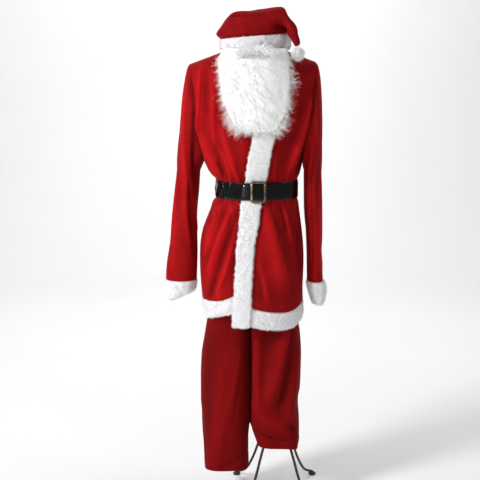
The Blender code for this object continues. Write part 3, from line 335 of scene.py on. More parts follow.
def soft_fold(across, z, low, high, at_low, at_mid, at_high, width, height, lean=0.0, fade=0.28):
    """A soft fold between two heights along a curve, faded out at both ends.

    A lean above 0 makes its side towards higher "across" the steeper one.
    """
    t = np.clip((z - low) / (high - low), 0, 1)
    line = at_low * (1 - t) * (1 - 2 * t) + at_mid * 4 * t * (1 - t) + at_high * t * (2 * t - 1)
    ends = ramp(np.minimum(z - low, high - z) / (fade * (high - low)))
    away = (across - line) / width
    return height * ends * bell(away * (1 + lean * np.tanh(3 * away)))


def folds_on(folds, side, across, z):
    """What a table's folds on one side add up to. The table's first column is the side."""
    rows = zip(*folds.values())
    return sum((soft_fold(across, z, *fold) for on, *fold in rows if on == side), 0 * across * z)


def cloth_ripple(points, size, height):
    """The faint unevenness of limp cloth: a few crossing waves, none of them regular."""
    x, y, z = (points[..., k] / size for k in range(3))
    wave = np.sin(5.1 * x + 1.7 * np.sin(1.3 * z + 0.4) + 2.0 * y)
    wave = wave + 0.8 * np.sin(3.3 * x - 2.1 * z + 1.9 * np.sin(2.2 * y + 1.1))
    wave = wave + 0.6 * np.sin(7.9 * x + 1.1 * z - 2.3 * y + 2.0)
    return height * wave / 2.4


def laid_grid(points):
    """A grid laid on rows of points, welded where they meet. Each vertex knows its place in the rows."""
    rows, columns = points.shape[:2]
    bm = bmesh.new()
    bmesh.ops.create_grid(bm, x_segments=columns - 1, y_segments=rows - 1, size=1.0, calc_uvs=True)
    place = bm.verts.layers.int.new("place")
    for vert, point in zip(bm.verts, points.reshape(-1, 3)):
        vert[place] = vert.index
        vert.co = point
    bmesh.ops.remove_doubles(bm, verts=bm.verts, dist=2e-6)
    return bm, place


def face_out(bm, place, behind):
    """Turns the faces of a laid grid away from the points behind it."""
    bmesh.ops.recalc_face_normals(bm, faces=bm.faces)
    bm.normal_update()
    if sum(v.normal.dot(v.co - Vector(behind[v[place]])) for v in bm.verts) < 0:
        bmesh.ops.reverse_faces(bm, faces=bm.faces)


def cap_row(bm, place, row, columns):
    """Closes the open edge that one row of a laid grid makes."""
    edge = [e for e in bm.edges if e.is_boundary and all(v[place] // columns == row for v in e.verts)]
    bmesh.ops.edgeloop_fill(bm, edges=edge)


def cloth_wall(name, outer, inner, cap_last=False, lift=None):
    """Cloth with a thickness: its outer face laid on one grid, then extruded to a second one behind.

    Lift is how far its folds stand out. It is kept as painted shade, from 0 dark in a trough to 1 light on a
    ridge.
    """
    bm, place = laid_grid(outer)
    if cap_last:
        cap_row(bm, place, len(outer) - 1, outer.shape[1])
    behind = inner.reshape(-1, 3)
    face_out(bm, place, behind)
    made = bmesh.ops.extrude_face_region(bm, geom=bm.faces[:], use_keep_orig=True)
    for vert in made["geom"]:
        if isinstance(vert, bmesh.types.BMVert):
            vert.co = behind[vert[place]]
    bmesh.ops.recalc_face_normals(bm, faces=bm.faces)
    made = object_of(name, bm, sharp_deg=70)
    if lift is not None:
        place = np.zeros(len(made.data.vertices), int)
        made.data.attributes["place"].data.foreach_get("value", place)
        # Painted shade: troughs are coloured dark and ridges light
        painted_fold_shade = 0.5 + 0.5 * np.tanh(lift / 0.006)
        made.data.attributes.new("painted_fold_shade", "FLOAT", "POINT").data.foreach_set("value", painted_fold_shade.ravel()[place])
    return made


def plush_finish(name, deep, bright, sheen):
    """Short velour over a close, fine pile. Deep colours the painted shade of fold troughs, bright the
    painted highlight on ridges.
    """
    made, tree, shader = finish_of(name, Roughness=0.72, Sheen_Weight=sheen, Sheen_Roughness=0.30,
                                   Sheen_Tint=(1.0, 0.11, 0.12, 1.0), Specular_IOR_Level=0.04)
    # The painted shade of the folds, from dark troughs to lit ridges
    painted_fold_shade = node(tree, "ShaderNodeAttribute", attribute_name="painted_fold_shade").outputs["Fac"]
    (brushed, brushed_grain), (pile, pile_grain) = speckled(tree, 16, 420), speckled(tree, 150, 1700)
    uneven_nap = worked_out(tree, "MULTIPLY_ADD", worked_out(tree, "ADD", brushed, pile), 0.42, -0.42)
    colour_between(tree, shader, worked_out(tree, "ADD", painted_fold_shade, uneven_nap), deep, bright)
    bumped(tree, shader, worked_out(tree, "ADD", pile_grain, brushed_grain), 0.00022)
    return made


def plush_piece(name, points, normals, lift, finish, slot, node_name, flat, rests_on):
    """A sewn panel of plush. What it rests on is not used."""
    panel = show(cloth_wall(name, points, points - normals * PLUSH, lift=lift), finish, slot, node_name)


TROUSER_X = 0.0115  # middle seam
WAIST_LOW, CROTCH_HIGH, CROTCH_LOW = 0.9940, 0.8000, 0.7150
HIPS = table("z right left front back", """
    560  -120   162   80   96
    640  -120   160   84   94
    720  -120   160   90  100
    800  -120   162   94  107
    860  -115   160   95  106
    895  -106   156   94  102
    930   -96   154   91   96
    958   -86   147   86   88
    985 -81.5 141.5 83.5 81.3
    994 -81.5 141.5 83.5 81.3
""")
LEGS = {
    "right": table("z outer inner front back square*", """
         80 -128.5   10 58 60 2.2
        152   -132   10 58 62 2.2
        236   -134  9.8 60 66 2.2
        319   -137 10.6 63 71 2.2
        385   -137   11 66 75 2.2
        467 -133.5 11.1 69 78 2.2
        530   -127 11.1 74 80 2.2
        600 -118.5 11.1 78 82 2.1
        715   -118 11.1 84 88 2.1
    """),
    "left": table("z outer inner front back square*", """
        150   164   43 81 78   4
        175   166   39 80 78 3.8
        200 170.5   30 77 77 3.2
        240 170.5   15 73 75 2.6
        319   169 11.9 70 75 2.3
        385 169.5 11.9 70 76 2.3
        467 170.5 11.9 71 78 2.2
        530   167 11.9 74 80 2.2
        600   159 11.9 78 82 2.1
        715   158 11.9 84 88 2.1
    """),
}
# Height of the hem round the leg. Turn runs in degrees from inside, round the front.
LEG_HEM = table("turn* right left", "0 100 181; 90 96 179; 180 90 168; 270 98 192; 360 100 181")
LEG_FOLDS = table("side* z_low z_high turn_low* turn_mid* turn_high* width* height", """
    right  90 600 122  94  70 20    6
    right 120 600 150 138 132 22   -3
    right 120 640 246 262 276 26   11
     left 250 660  72  59  66 12   10
     left 205 372 128  76  60 14 10.5
     left 260 660  80 101 140 10    7
     left 250 640  94 116 152 11 -3.4
     left 280 620  78  76  84 12   -4
     left 220 520 116 136 156 17    9
     left 200 640 264 256 272 26   11
""")
# Smaller creases: the swag over the stand, the sharp crease above it, and slack at the back and sides
LEG_CREASES = table("side* z_low z_high turn_low* turn_mid* turn_high* width* height lean*", """
     left 270 620  82 103 138  4  6.6  0.8
     left 280 500  92 110 131  5 -2.6 -0.4
     left 240 550  58  46  54  7  3.5  0.3
     left 196 246 124  70  44  6 -4.5    0
     left 220 262 140 128 116  5   -4    0
     left 300 520  30  28  26  8   -3  0.2
     left 300 620 162 178 192 11  3.6  0.3
     left 210 360 196 184 162  9 -2.6    0
    right 150 560 172 186 178 12  3.6  0.3
    right 100 320 156 166 188 10 -2.6    0
     left 220 500 214 226 250 12    5  0.3
     left 220 440 292 300 316 12  4.5 -0.3
     left 240 380 196 232 268  9 -3.5    0
    right 120 560 108  82  56  8  2.6  0.6
    right 130 500 100  74  50  6 -1.6    0
    right  95 150 110  82  50  8   -2    0
    right 120 400 214 222 236 12  4.5  0.3
    right 200 520 300 306 318 13    4 -0.2
    right 100 220 236 268 300 11 -3.5    0
""")
CREASED = 1.5  # how much stronger the smaller creases are pressed than their table says
HEM_DEEP, HEM_STITCH = 0.036, 0.0016  # how far up the hem is stitched, and half the groove's width
HEM_GROOVE, HEM_THICK, HEM_EASE = 0.0010, 0.0006, 0.004
LEG_LEVELS, SEAT_LEVELS = np.linspace(0, 1, 96), np.linspace(0.725, WAIST_LOW - 2 * SEAM, 22)
LEG_STEPS = 100
INNER_SQUARE = 3.2  # the legs press on each other, so their sections are squarer inside
SWERVE, SWERVE_Y, SWERVE_HALF = 0.0065, 0.022, 0.016  # how the legs lean round each other: far, where, wide
SWERVE_REACH, SWERVE_LOW, SWERVE_EASE = 0.030, 0.19, 0.08


def hip_section(z, angle):
    """The trousers round the hips. Under the waistband they close in on the form."""
    right, left, front, back = (along(HIPS, side, z) for side in ("right", "left", "front", "back"))
    x, y = oval(angle, BODY_X - right, left - BODY_X, front, back)
    return BODY_X + x, y, BODY_X - right


def leg_normals(points, away, seam):
    """Outward normals of a leg. Along the middle seam they never lean across it."""
    joined = np.linalg.norm(points[:, 0] - points[:, -1], axis=-1) < 1e-6
    normals = np.where(joined[:, None, None], grid_normals(points, closed=True), grid_normals(points))
    middle = points.mean(axis=1, keepdims=True)
    normals *= np.sign(np.mean(np.sum(normals * (points - middle) * (1, 1, 0), axis=-1)))
    normals[(np.abs(points[..., 0] - seam) < 2 * SEAM) & (normals[..., 0] * away > 0), 0] = 0
    return unit(normals)


def leg_surface(name):
    """Points, outward normals and folds of one leg, from the hem up to the waistband."""
    away, sizes, share = SIDES[name], LEGS[name], np.linspace(0, 1, LEG_STEPS + 1)
    turn, swing = 360 * share, 2 * math.pi * share
    hem = along(LEG_HEM, name, turn)
    levels = [hem * (1 - up) + CROTCH_LOW * up for up in LEG_LEVELS]
    levels += [np.full_like(share, z) for z in SEAT_LEVELS]
    seam = TROUSER_X + away * SEAM * 0.75
    rows = []
    for z in levels:
        outer, inner, square = (along(sizes, column, z) for column in ("outer", "inner", "square"))
        square = np.where(np.abs(share - 0.5) > 0.25, np.maximum(square, INNER_SQUARE), square)
        ring_x = (outer + inner) / 2 - (outer - inner) / 2 * signed_power(np.cos(swing), 2 / square)
        depth = np.where(share < 0.5, along(sizes, "front", z), along(sizes, "back", z))
        ring_y = -depth * signed_power(np.sin(swing), 2 / square)
        _, _, half = hip_section(z, np.zeros_like(z))
        start = np.arcsin(signed_power((seam - BODY_X) / half, SQUARE / 2))
        hip_x, hip_y, _ = hip_section(z, start + (away * math.pi - 2 * start) * share)
        closed = ramp((CROTCH_HIGH - z) / (CROTCH_HIGH - CROTCH_LOW))
        leg_x, leg_y = hip_x + (ring_x - hip_x) * closed, hip_y + (ring_y - hip_y) * closed
        rows.append(np.stack([leg_x, leg_y, z], axis=-1))
    points = np.array(rows)
    x, y, z = (points[..., k] for k in range(3))
    near_seam = bell((x - seam) / SWERVE_REACH) * ramp((CROTCH_LOW - z) / SWERVE_EASE)
    swerve = bell((y + SWERVE_Y) / SWERVE_HALF) - bell((y - SWERVE_Y) / SWERVE_HALF)
    x += SWERVE * swerve * near_seam * ramp((z - SWERVE_LOW) / SWERVE_EASE)
    lift = cloth_ripple(points, 0.12, 0.0010) * ramp((CROTCH_LOW - z) / 0.1)
    lift += folds_on(LEG_FOLDS, away, turn, z) + CREASED * folds_on(LEG_CREASES, away, turn, z)
    lift -= HEM_GROOVE * bell((z - hem - HEM_DEEP) / HEM_STITCH)
    lift += HEM_THICK * ramp((HEM_DEEP - z + hem) / HEM_EASE)
    points = moved(points, leg_normals(points, away, seam), lift)
    return points, leg_normals(points, away, seam), lift


trouser_plush = plush_finish("trouser_plush", deep=(0.088, 0.0017, 0.0022), bright=(0.215, 0.0036, 0.0044),
                             sheen=0.28)
for name, flat in (("right", (0.41, 0.93)), ("left", (0.44, 0.87))):
    plush_piece(f"leg_{name}", *leg_surface(name), trouser_plush, "red_plush_trousers", f"trouser_leg_{name}",
                flat, "waistband")
waist = smooth_copy("elastic_waist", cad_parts["waistband"].data)
show(waist, trouser_plush, "red_plush_trousers", "waistband")


# Coat body. Three panels of bright red plush, a back and two fronts, cut from one shape and sewn at the
# sides and shoulders. The belt gathers it at the waist, so folds fan out above and below it. The right
# front runs on under the left one.

# Right and left are X, front and back are depths
COAT = table("z right left front back", """
     560   -131   176 117 128
     600   -132 177.5 118 130
     640 -133.5 178.5 118 130
     690 -137.5 177.5 117 128
     730   -140   179 116 126
     775   -141 179.5 115 124
     820 -139.5 177.5 113 121
     860   -133 173.5 110 117
     895   -121   169 107 111
     930   -107   164 104 104
     950   -101 161.5 102  99
     967    -89   157  99  95
    1019    -89   157  99  95
    1034   -103   163 106 102
    1050   -114   168 111 107
    1075   -126   174 115 112
    1120   -154   197 117 114
    1200   -181   222 116 112
    1270   -193   235 108 109
    1330   -200   243  94 104
    1420   -207   250  78  96
""")
ARMPIT_Z, NECK_Z, NECK_HALF = 1.075, 1.413, 0.068
SHOULDER_SLOPE, SHOULDER_ROUND, NECK_ROUND = 0.37, 0.060, 2.1
NECK_DROP = {FRONT: 0.074, BACK: 0.018}
# X of the armhole's edge, from the armpit (0) up to the shoulder (1)
ARMHOLE = table("up* right left", """
       0   -126   174
    0.15 -127.5 175.5
    0.33   -135 181.5
    0.54   -144 189.5
    0.79   -156   200
       1   -169   209
""")
BELT_LOW, BELT_HIGH = 0.9670, 1.0190
BELT_Z = (BELT_LOW + BELT_HIGH) / 2
HEM_LEVEL, HEM_PULL = 0.650, 0.200  # rows are bent to the hem over this height above it
LOWER_Z = np.linspace(HEM_LEVEL, ARMPIT_Z, 88)
UPPER_STEPS = 1 - (1 - np.linspace(0, 1, 34)[1:]) ** 1.5
ARMPIT_ROW = len(LOWER_Z) - 1
HALF_COLUMNS, BEND_PASSES = 68, 4
# The fur strip down the front: X of its middle, and half its width
TRIM = table("z middle half", """
     560 -15.5 27.5
     640 -10.5   27
     700    -8 26.2
     760  -4.5   26
     820  -1.4 26.2
     880   7.5 27.8
     956    16   30
    1024    29 31.2
    1089  38.5   32
    1160    52   32
    1250    56   30
    1345    40   28
""")
LAP_DROP = 0.0036  # how deep the right front lies where it runs under the left one
LAP_BEFORE, LAP_EASE = 0.014, 0.012  # it starts to go under this far outside the strip, over this width
STRIP_FADE, BELT_FADE, SIDE_FADE = 0.020, 0.020, 0.045  # reach over which folds die out beside these
GATHER, GATHER_REACH = 0.0009, 0.022  # the belt's fine pleats: their height, and how far they run from it
HEM = {
    "right": table("x top low", "-140 652 589; -83 659 609; -38 677 622"),
    "left": table("x top low", "15 642 583; 63 631 573; 120 625 569; 145 628 571; 182 646 588"),
    "back": table("x top low", "-140 652 589; -60 641 582; 80 638 580; 182 646 588"),
}
FOLDS = table("face* z_low z_high x_low x_mid x_high width height", """
    front 1130 1385 -138 -133 -128 13  8.5
    front 1020 1235  -68 -118 -139 14 10.5
    front 1100 1385  -92  -94  -96 12  6.5
    front 1020 1200  -22  -46  -76 13  8.5
    front 1020 1180  -50  -82 -104 10   -4
    front 1020 1300  117  166  196 10  8.5
    front 1020 1300   92  138  164 18   -4
    front 1020 1170  142  174  190 10  -10
    front  790  970 -122  -92  -72 12   10
    front  700  970 -118  -76  -20 13 12.5
    front  640  860  -90  -58  -26 13 10.5
    front  740  968 -128  -88  -54 10 -6.5
    front  670  930 -106  -65  -28 11   -6
    front  640  970  130   94   60 17    6
    front  640  966  160  128   92 15   -2
    front  620  820   72   58   34 14  4.5
     back 1020 1340  -50  -85 -110 16   12
     back 1020 1240   10    6   -4 15   10
     back 1020 1340  110  140  165 17   12
     back 1020 1300   62   85  110 14  -10
     back  600  960 -104  -90  -58 15   12
     back  580  960  -30  -22  -10 17   14
     back  600  960   22   20   20 13  -10
     back  580  960   70   60   50 16   12
     back  600  960  140  124  100 15   12
""")
# Smaller creases between them. Above the belt they run up from the gathers, and below it they fan out.
COAT_CREASES = table("face* z_low z_high x_low x_mid x_high width height lean*", """
    front 1150 1380 -136 -132 -128 4.5    4  0.5
    front 1024 1225  -71 -121 -138   5  4.2  0.5
    front 1115 1350  -94  -95  -96 4.5  3.8 -0.4
    front 1024 1190  -22  -46  -73 4.5  4.2  0.4
    front 1024 1125  -43  -58  -81 4.5  3.6    0
    front 1022 1095  -19  -27  -38 4.2  3.6  0.3
    front 1022 1090  -58  -72  -88 4.5 -3.6    0
    front 1180 1360 -112 -113 -113   7   -1    0
    front 1022 1285  119  166  194 5.5  4.6  0.6
    front 1050 1210  174  188  190 4.5  3.6    0
    front 1024 1120   80   86   90   5  2.6  0.2
    front 1150 1340  134  146  142   9  2.4  0.3
    front  820  966 -119  -91  -73 4.5  4.2  0.5
    front  735  966 -113  -73  -22   5  4.8  0.6
    front  860  966  -60  -47  -38   5  3.6  0.2
    front  665  852  -86  -54  -27   5  4.8  0.6
    front  780  900 -128 -116 -110 5.5  2.6    0
    front  655  740 -114 -100  -92   8 -2.6    0
    front  680  966  139  103   62   6  4.2  0.9
    front  820  964  141  129  109   5  4.2  0.4
    front  860  964  124  114  100   5 -3.8    0
    front  850  962   40   44   53   5 -4.5    0
    front  650  800   71   56   34   6    2  0.5
    front  650  780   52   46   40   7 -2.8    0
    front  730  900  168  160  152   7   -4  0.2
     back 1024 1170  -70 -100 -118   7    4  0.4
     back 1026 1190  -28  -30  -48   7 -4.5    0
     back 1024 1130   34   36   44   6  4.5  0.3
     back 1024 1200   86  110  140   7    4  0.3
     back 1180 1370  -96  -80 -104  11    4  0.3
     back 1200 1360   30   20   34  14 -1.8    0
     back  800  966  -84  -74  -40   6 -4.5    0
     back  840  966  -52  -44  -30   7  4.5  0.4
     back  700  880  -66  -56  -40   9    4  0.2
     back  860  966   46   38   34   6  4.5  0.3
     back  780  966  104   90   72   7 -4.5    0
     back  700  860  112  104  104  10    4 -0.2
     back  820  966  150  138  118   7    4  0.3
""")
SEAM_DIP, SEAM_WIDE = 0.0012, 0.0035  # how deep the cloth draws in along a sewn seam, and how wide
RIPPLE, RIPPLE_SIZE = 0.0011, 0.10  # faint unevenness of the panels


def from_middle(x):
    return np.abs(x - BODY_X)


def shoulder_ridge(x):
    """Height of the line along the top of the shoulders."""
    return NECK_Z - SHOULDER_SLOPE * np.maximum(from_middle(x) - NECK_HALF, 0)


def top_edge(x, face):
    """Height of a panel's top edge: the neckline, and outside it the shoulder seam."""
    inside = np.clip(from_middle(x) / NECK_HALF, 0, 1)
    return shoulder_ridge(x) - NECK_DROP[face] * (1 - inside**NECK_ROUND)


def coat_depth(x, z, face):
    """How far the coat lies in front of, or behind, the plane of its side seams."""
    half = np.where(x < BODY_X, BODY_X - along(COAT, "right", z), along(COAT, "left", z) - BODY_X)
    share = np.clip(from_middle(x) / half, 0, 1)
    crown = 1 - np.clip((shoulder_ridge(x) - z) / SHOULDER_ROUND, 0, 1)
    depth = along(COAT, "front" if face == FRONT else "back", z) * (1 - share**SQUARE) ** (1 / SQUARE)
    return np.maximum(depth * np.sqrt(1 - crown**2), SEAM * 2 / 3)


def trim_edge(z, side, more=0.0):
    """X of one edge of the front fur strip, or of a line a little further out."""
    return along(TRIM, "middle", z) + side * (along(TRIM, "half", z) + more)


def beyond_belt(z):
    return np.maximum(BELT_LOW - z, z - BELT_HIGH)


def fold_height(x, z, face, broad=1.0, fine=1.0):
    """How far folds lift the cloth out, or let it in. They die out at the seams, strip and belt."""
    total = broad * folds_on(FOLDS, face, x, z) + fine * folds_on(COAT_CREASES, face, x, z)
    if face == FRONT:
        beside = np.maximum(trim_edge(z, RIGHT) - x, x - trim_edge(z, LEFT))
        total = total * ramp(beside / STRIP_FADE)
    return total * ramp(coat_depth(x, z, face) / SIDE_FADE) * ramp(beyond_belt(z) / BELT_FADE)


def gathers(x, z, face):
    """Fine pleats that the belt presses in. They run up and down from it and soon fade."""
    wave = np.sin(x / 0.0026 + 2.2 * np.sin(x / 0.0111) + face) + 0.6 * np.sin(x / 0.0047 + 1.0)
    reach = np.exp(-np.maximum(beyond_belt(z), 0) / GATHER_REACH)
    return GATHER * reach * wave * ramp(coat_depth(x, z, face) / SIDE_FADE)


def panel_columns(inner, reach, level):
    """X across a panel: first its inner columns, given as functions of Z, then out to its reach."""
    near = [column(level) for column in inner]
    wide = reach - BODY_X
    start = np.arcsin(signed_power(np.clip((near[-1] - BODY_X) / wide, -1, 1), SQUARE / 2))
    share = np.linspace(0, 1, HALF_COLUMNS - len(near) + 1)[1:]
    far = BODY_X + wide * signed_power(np.sin(start + (math.pi / 2 - start) * share), 2 / SQUARE)
    return np.concatenate([near, far])


def bent_row(inner, name, level, height):
    """X and Z of a row that starts level and is bent by height(x), so that it follows the hem."""
    z = np.full(HALF_COLUMNS, level)
    for _ in range(BEND_PASSES):
        x = panel_columns(inner, along(COAT, name, z[-1]), z[0])
        z = height(x)
    return x, z


def upper_level(up, face):
    """Height in the middle of the body of a row above the armpit."""
    return ARMPIT_Z + up * (NECK_Z - NECK_DROP[face] - ARMPIT_Z)


def panel_places(face, name):
    """X and Z of half a coat body, from the top of its hem band up to the shoulder.

    Columns run from the inner edge out to the side seam and the armhole. Rows run up.
    """
    inner, hem = (part["back" if face == BACK else name] for part in (INNER, HEM))
    rows = []
    for level in LOWER_Z:
        pull = max(1 - (level - HEM_LEVEL) / HEM_PULL, 0)

        def height(x):
            return level + (along(hem, "top", x) - HEM_LEVEL) * pull
        rows.append(bent_row(inner, name, level, height))
    top_x = panel_columns(inner, along(ARMHOLE, name, 1.0), NECK_Z - NECK_DROP[face])
    at_neck = np.argmin(np.abs(from_middle(top_x) - NECK_HALF))
    for up in UPPER_STEPS:
        x = panel_columns(inner, along(ARMHOLE, name, up), upper_level(up, face))
        x[at_neck] += (BODY_X + SIDES[name] * NECK_HALF - x[at_neck]) * up**2
        rows.append((x, ARMPIT_Z + up * (top_edge(x, face) - ARMPIT_Z)))
    return np.array(rows).transpose(1, 0, 2)


def panel_surface(x, z, face):
    """Points and outward normals of a panel. At the side and shoulder seams the normals lie in the seam."""
    y = face * coat_depth(x, z, face)
    base = np.stack([x, y, z], axis=-1)
    outward = grid_normals(base)
    outward *= np.sign(np.mean(outward[..., 1]) * face)
    lift = fold_height(x, z, face) + gathers(x, z, face)
    lift += cloth_ripple(base, RIPPLE_SIZE, RIPPLE) * ramp(np.abs(y) / SIDE_FADE)
    sewn = np.minimum(np.abs(y), np.maximum(top_edge(x, face) - z, 0) + 0.02 * (from_middle(x) < NECK_HALF))
    lift -= SEAM_DIP * bell(sewn / SEAM_WIDE) * (z > HEM_LEVEL)
    points = moved(base, outward, lift)
    normals = grid_normals(points)
    normals *= np.sign(np.mean(normals[..., 1]) * face)
    normals[np.abs(y) < SEAM, 1] = 0
    return points, unit(normals)


def strip_line(more, side=RIGHT):
    """A line beside one edge of the front strip, as X for a given Z."""
    return lambda z: trim_edge(z, side, more)


def strip_middle(z):
    return along(TRIM, "middle", z)


# Inner columns of each panel, as X for a given Z
INNER = {
    "right": [strip_middle]
    + [strip_line(more) for more in (-0.003, 0.0005, 0.002, 0.0045, 0.007, 0.0095, 0.012, 0.014)],
    "left": [strip_line(-0.003), strip_middle, strip_line(SEAM * 2, LEFT)],
    "back": [lambda z: BODY_X + 0 * z],
}


def both_halves(places):
    """Joins the places of the back's two halves into one row of columns, from right to left."""
    right, left = (places(BACK, name) for name in ("right", "left"))
    return np.concatenate([right[:, :, :0:-1], left], axis=2)


def lap_share(x, z):
    """0 on the open right front, 1 where it has gone under the left front."""
    return ramp((x - trim_edge(z, RIGHT, LAP_BEFORE)) / LAP_EASE)


points, normals = panel_surface(*panel_places(FRONT, "right"), FRONT)
lapped = moved(points, normals, -LAP_DROP * lap_share(points[..., 0], points[..., 2]))
right_front = lapped, normals
left_front = panel_surface(*panel_places(FRONT, "left"), FRONT)
whole_back = panel_surface(*both_halves(panel_places), BACK)
coat_plush = plush_finish("coat_plush", deep=(0.108, 0.0020, 0.0028), bright=(0.440, 0.0070, 0.0088),
                          sheen=0.44)


# Sleeves. One piece each, closed by a seam along the inner arm and set into the armhole. They hang empty
# and flattened, with slack folds at the elbow and a fuller head at the shoulder.

SLEEVE = {
    "right": table("z outer inner front back", """
        707.5   -247   -151 42 44
          735 -245.5 -149.5 42 44
          798   -237 -147.5 43 46
          861 -228.5   -148 46 50
          923   -222 -147.5 50 52
          985   -215 -141.5 52 55
         1040 -208.5 -137.5 54 57
    """),
    "left": table("z outer inner front back", """
         705 240.5 190.5 47 47
         735   239   190 48 48
         798 234.5 188.5 50 50
         861   232   185 52 53
         923 231.5   179 54 55
         985   231   177 55 57
        1040 230.5 176.5 56 58
    """),
}
CAP_STEPS = (0.04, 0.14, 0.30, 0.50, 0.74)  # shares of the way from the armhole down to the arm
CAP_BULGE, CAP_EASE, ARMHOLE_GAP = {"right": 0.006, "left": 0.010}, 0.012, 0.0013
# Turn is 0 on the outer side of the arm, 90 in front, 180 inside and 270 behind
SLEEVE_CREASES = table("side* z_low z_high turn_low* turn_mid* turn_high* width* height lean*", """
    right  990 1330  90  60  38 13    6 0.4
    right  780 1050 137 104  86 10  4.5 0.4
    right  745 1060 154 118  92 11 -3.2   0
    right  980 1400 130 112  92 16  -11   0
    right  840  980 166 152 132  9  4.5   0
    right  715  960  62  50  40 14    3 0.2
    right  900 1100  60  40  22 12   -3   0
    right  740 1100 228 262 286 16  5.5 0.3
    right  780 1010 198 234 262 12 -4.5   0
    right 1080 1310 248 274 302 14  4.5   0
    right  720  870 262 282 300 12  3.5 0.2
    right  790 1120  16  30  22 12    4 0.3
    right 1020 1270 352 338 322 13  4.5 0.2
    right  860 1090 346 332 318 11   -4   0
    right  720  900 350 338 334 12    4 0.2
     left  770 1080  14  26  34 12  4.2 0.3
     left 1000 1260 350 336 324 13  4.5 0.2
     left  830 1060 344 328 312 11   -4   0
     left  715  880 352 340 330 12  3.8 0.2
     left 1060 1220   8  20  36  9 -3.2   0
     left 1120 1330  90  99 108 14  4.5 0.3
     left 1010 1150 127 116 122  9  4.5 0.3
     left  860 1110 104 104 104 12   -4   0
     left  715  980  56  54  58 14    4 0.2
     left  720  940 112 108 100 14 -4.5   0
     left  960 1120  70  58  44 12   -3   0
     left  740 1080 232 258 280 16    5 0.3
     left  800 1020 204 240 268 12 -4.5   0
     left 1080 1300 246 270 296 14  4.5   0
""")
SLEEVE_ROWS, SLEEVE_FLAT = 104, (0.30, 0.66)
CAP_CALM, CUFF_CALM = 0.03, 0.02  # folds die out this near the armhole, and this near the cuff
UNDERARM_DIP, UNDERARM_WIDE = 0.7, 4  # the inner seam: its dip as a share of the others', and its degrees
CAP_PAINTED_SHADOW, CAP_SHADE = 0.0075, 0.034  # painted shadow in front of the armhole: its depth, and how far it reaches


def arm_ring(outer, inner, front, back, z_outer, z_inner, steps):
    """A ring read from the outer side of the arm, round its front to the inner side, and back."""
    turn = full_turn(steps)
    x = (outer + inner) / 2 + (outer - inner) / 2 * np.cos(turn)
    y = -np.where(np.sin(turn) > 0, front, back) * np.sin(turn)
    z = (z_outer + z_inner) / 2 + (z_outer - z_inner) / 2 * np.cos(turn)
    return np.stack([x, y, z], axis=-1)


def sleeve_points(name, loop, away_from_coat):
    """Rows of a sleeve, from the armhole down to the top of the cuff."""
    steps = len(loop) - 1
    rings = [arm_ring(outer, inner, front, back, z, z, steps)
             for z, outer, inner, front, back in zip(*SLEEVE[name].values())][::-1]
    away = SIDES[name] * (0.5 + 0.5 * np.cos(full_turn(steps)))
    rows = []
    for t in (0.0,) + CAP_STEPS:
        row = loop + (rings[0] - loop) * t + away_from_coat * (ARMHOLE_GAP + CAP_EASE * t * (1 - t))
        row[:, 0] += away * CAP_BULGE[name] * math.sin(math.pi * math.sqrt(t))
        rows.append(row)
    return np.array(rows + rings)


def refined(points, rows):
    """The same surface with more rows, through a smooth curve down each column."""
    at = np.linspace(0, len(points) - 1, rows)
    k = np.clip(at.astype(int), 0, len(points) - 2)
    t = (at - k)[:, None, None]
    padded = np.concatenate([2 * points[:1] - points[1:2], points, 2 * points[-1:] - points[-2:-1]])
    a, b, c, d = (padded[k + n] for n in range(4))
    return b + 0.5 * t * (c - a + t * (2 * a - 5 * b + 4 * c - d + t * (3 * (b - c) + d - a)))


def ring_normals(points, middle_x):
    """Outward normals of a grid closed round an upright axis."""
    normals = grid_normals(points, closed=True)
    return normals * np.sign(np.mean(normals[..., 0] * (points[..., 0] - middle_x)))


def creased_sleeve(name, points, normals):
    """The sleeve with its folds, which die out at the armhole and at the cuff, and its painted fold shade,
    deepened as painted shadow by the armhole.
    """
    z = points[..., 2]
    turn = np.degrees(full_turn(points.shape[1] - 1)) + 0 * z
    below_cap = np.linalg.norm(points - points[:1], axis=-1)
    calm = ramp(below_cap / CAP_CALM) * ramp((z - z[-1]) / CUFF_CALM)
    lift = cloth_ripple(points, 0.09, 0.0010) + folds_on(SLEEVE_CREASES, SIDES[name], turn, z)
    lift = lift * calm - SEAM_DIP * bell(below_cap / SEAM_WIDE)
    lift -= UNDERARM_DIP * SEAM_DIP * bell(np.minimum(np.abs(turn - 180), 20) / UNDERARM_WIDE) * calm
    # Painted shadow on the sleeve's front just below the armhole
    armhole_shadow = CAP_PAINTED_SHADOW * bell(below_cap / CAP_SHADE) * ramp((turn - 30) / 40)
    return moved(points, normals, lift), lift - armhole_shadow * ramp((200 - turn) / 40)


def sew_sleeve(name, front):
    """The sleeve's own grid, and the mitre that the panels share with it along the armhole.

    The armhole goes down the front and up the back, as (panel, row, column), closed on itself.
    """
    top, column = len(front[0]) - 1, 0 if name == "right" else -1
    down = [(front, row, -1) for row in range(top, ARMPIT_ROW - 1, -1)]
    edge = down + [(whole_back, row, column) for row in range(ARMPIT_ROW + 1, top)] + down[:1]
    loop, facing = (np.array([panel[n][row, at] for panel, row, at in edge]) for n in (0, 1))
    course = np.gradient(loop, axis=0)
    course[0] = course[-1] = loop[1] - loop[-2]
    beyond = unit(np.cross(course, facing))
    beyond *= np.sign(np.mean(beyond[:, 0]) * SIDES[name])
    points = refined(sleeve_points(name, loop, beyond), SLEEVE_ROWS)
    points, lift = creased_sleeve(name, points, ring_normals(points, points[-1, :, 0].mean()))
    normals = ring_normals(points, points[-1, :, 0].mean())
    for n, (panel, row, at) in enumerate(edge):
        panel[1][row, at] = normals[0, n] = unit(panel[1][row, at] + normals[0, n])
    normals[0, -1] = normals[0, 0]
    whole_back[1][-1, column] = normals[0, 0] * (1, 0, 1)
    return points, normals, lift


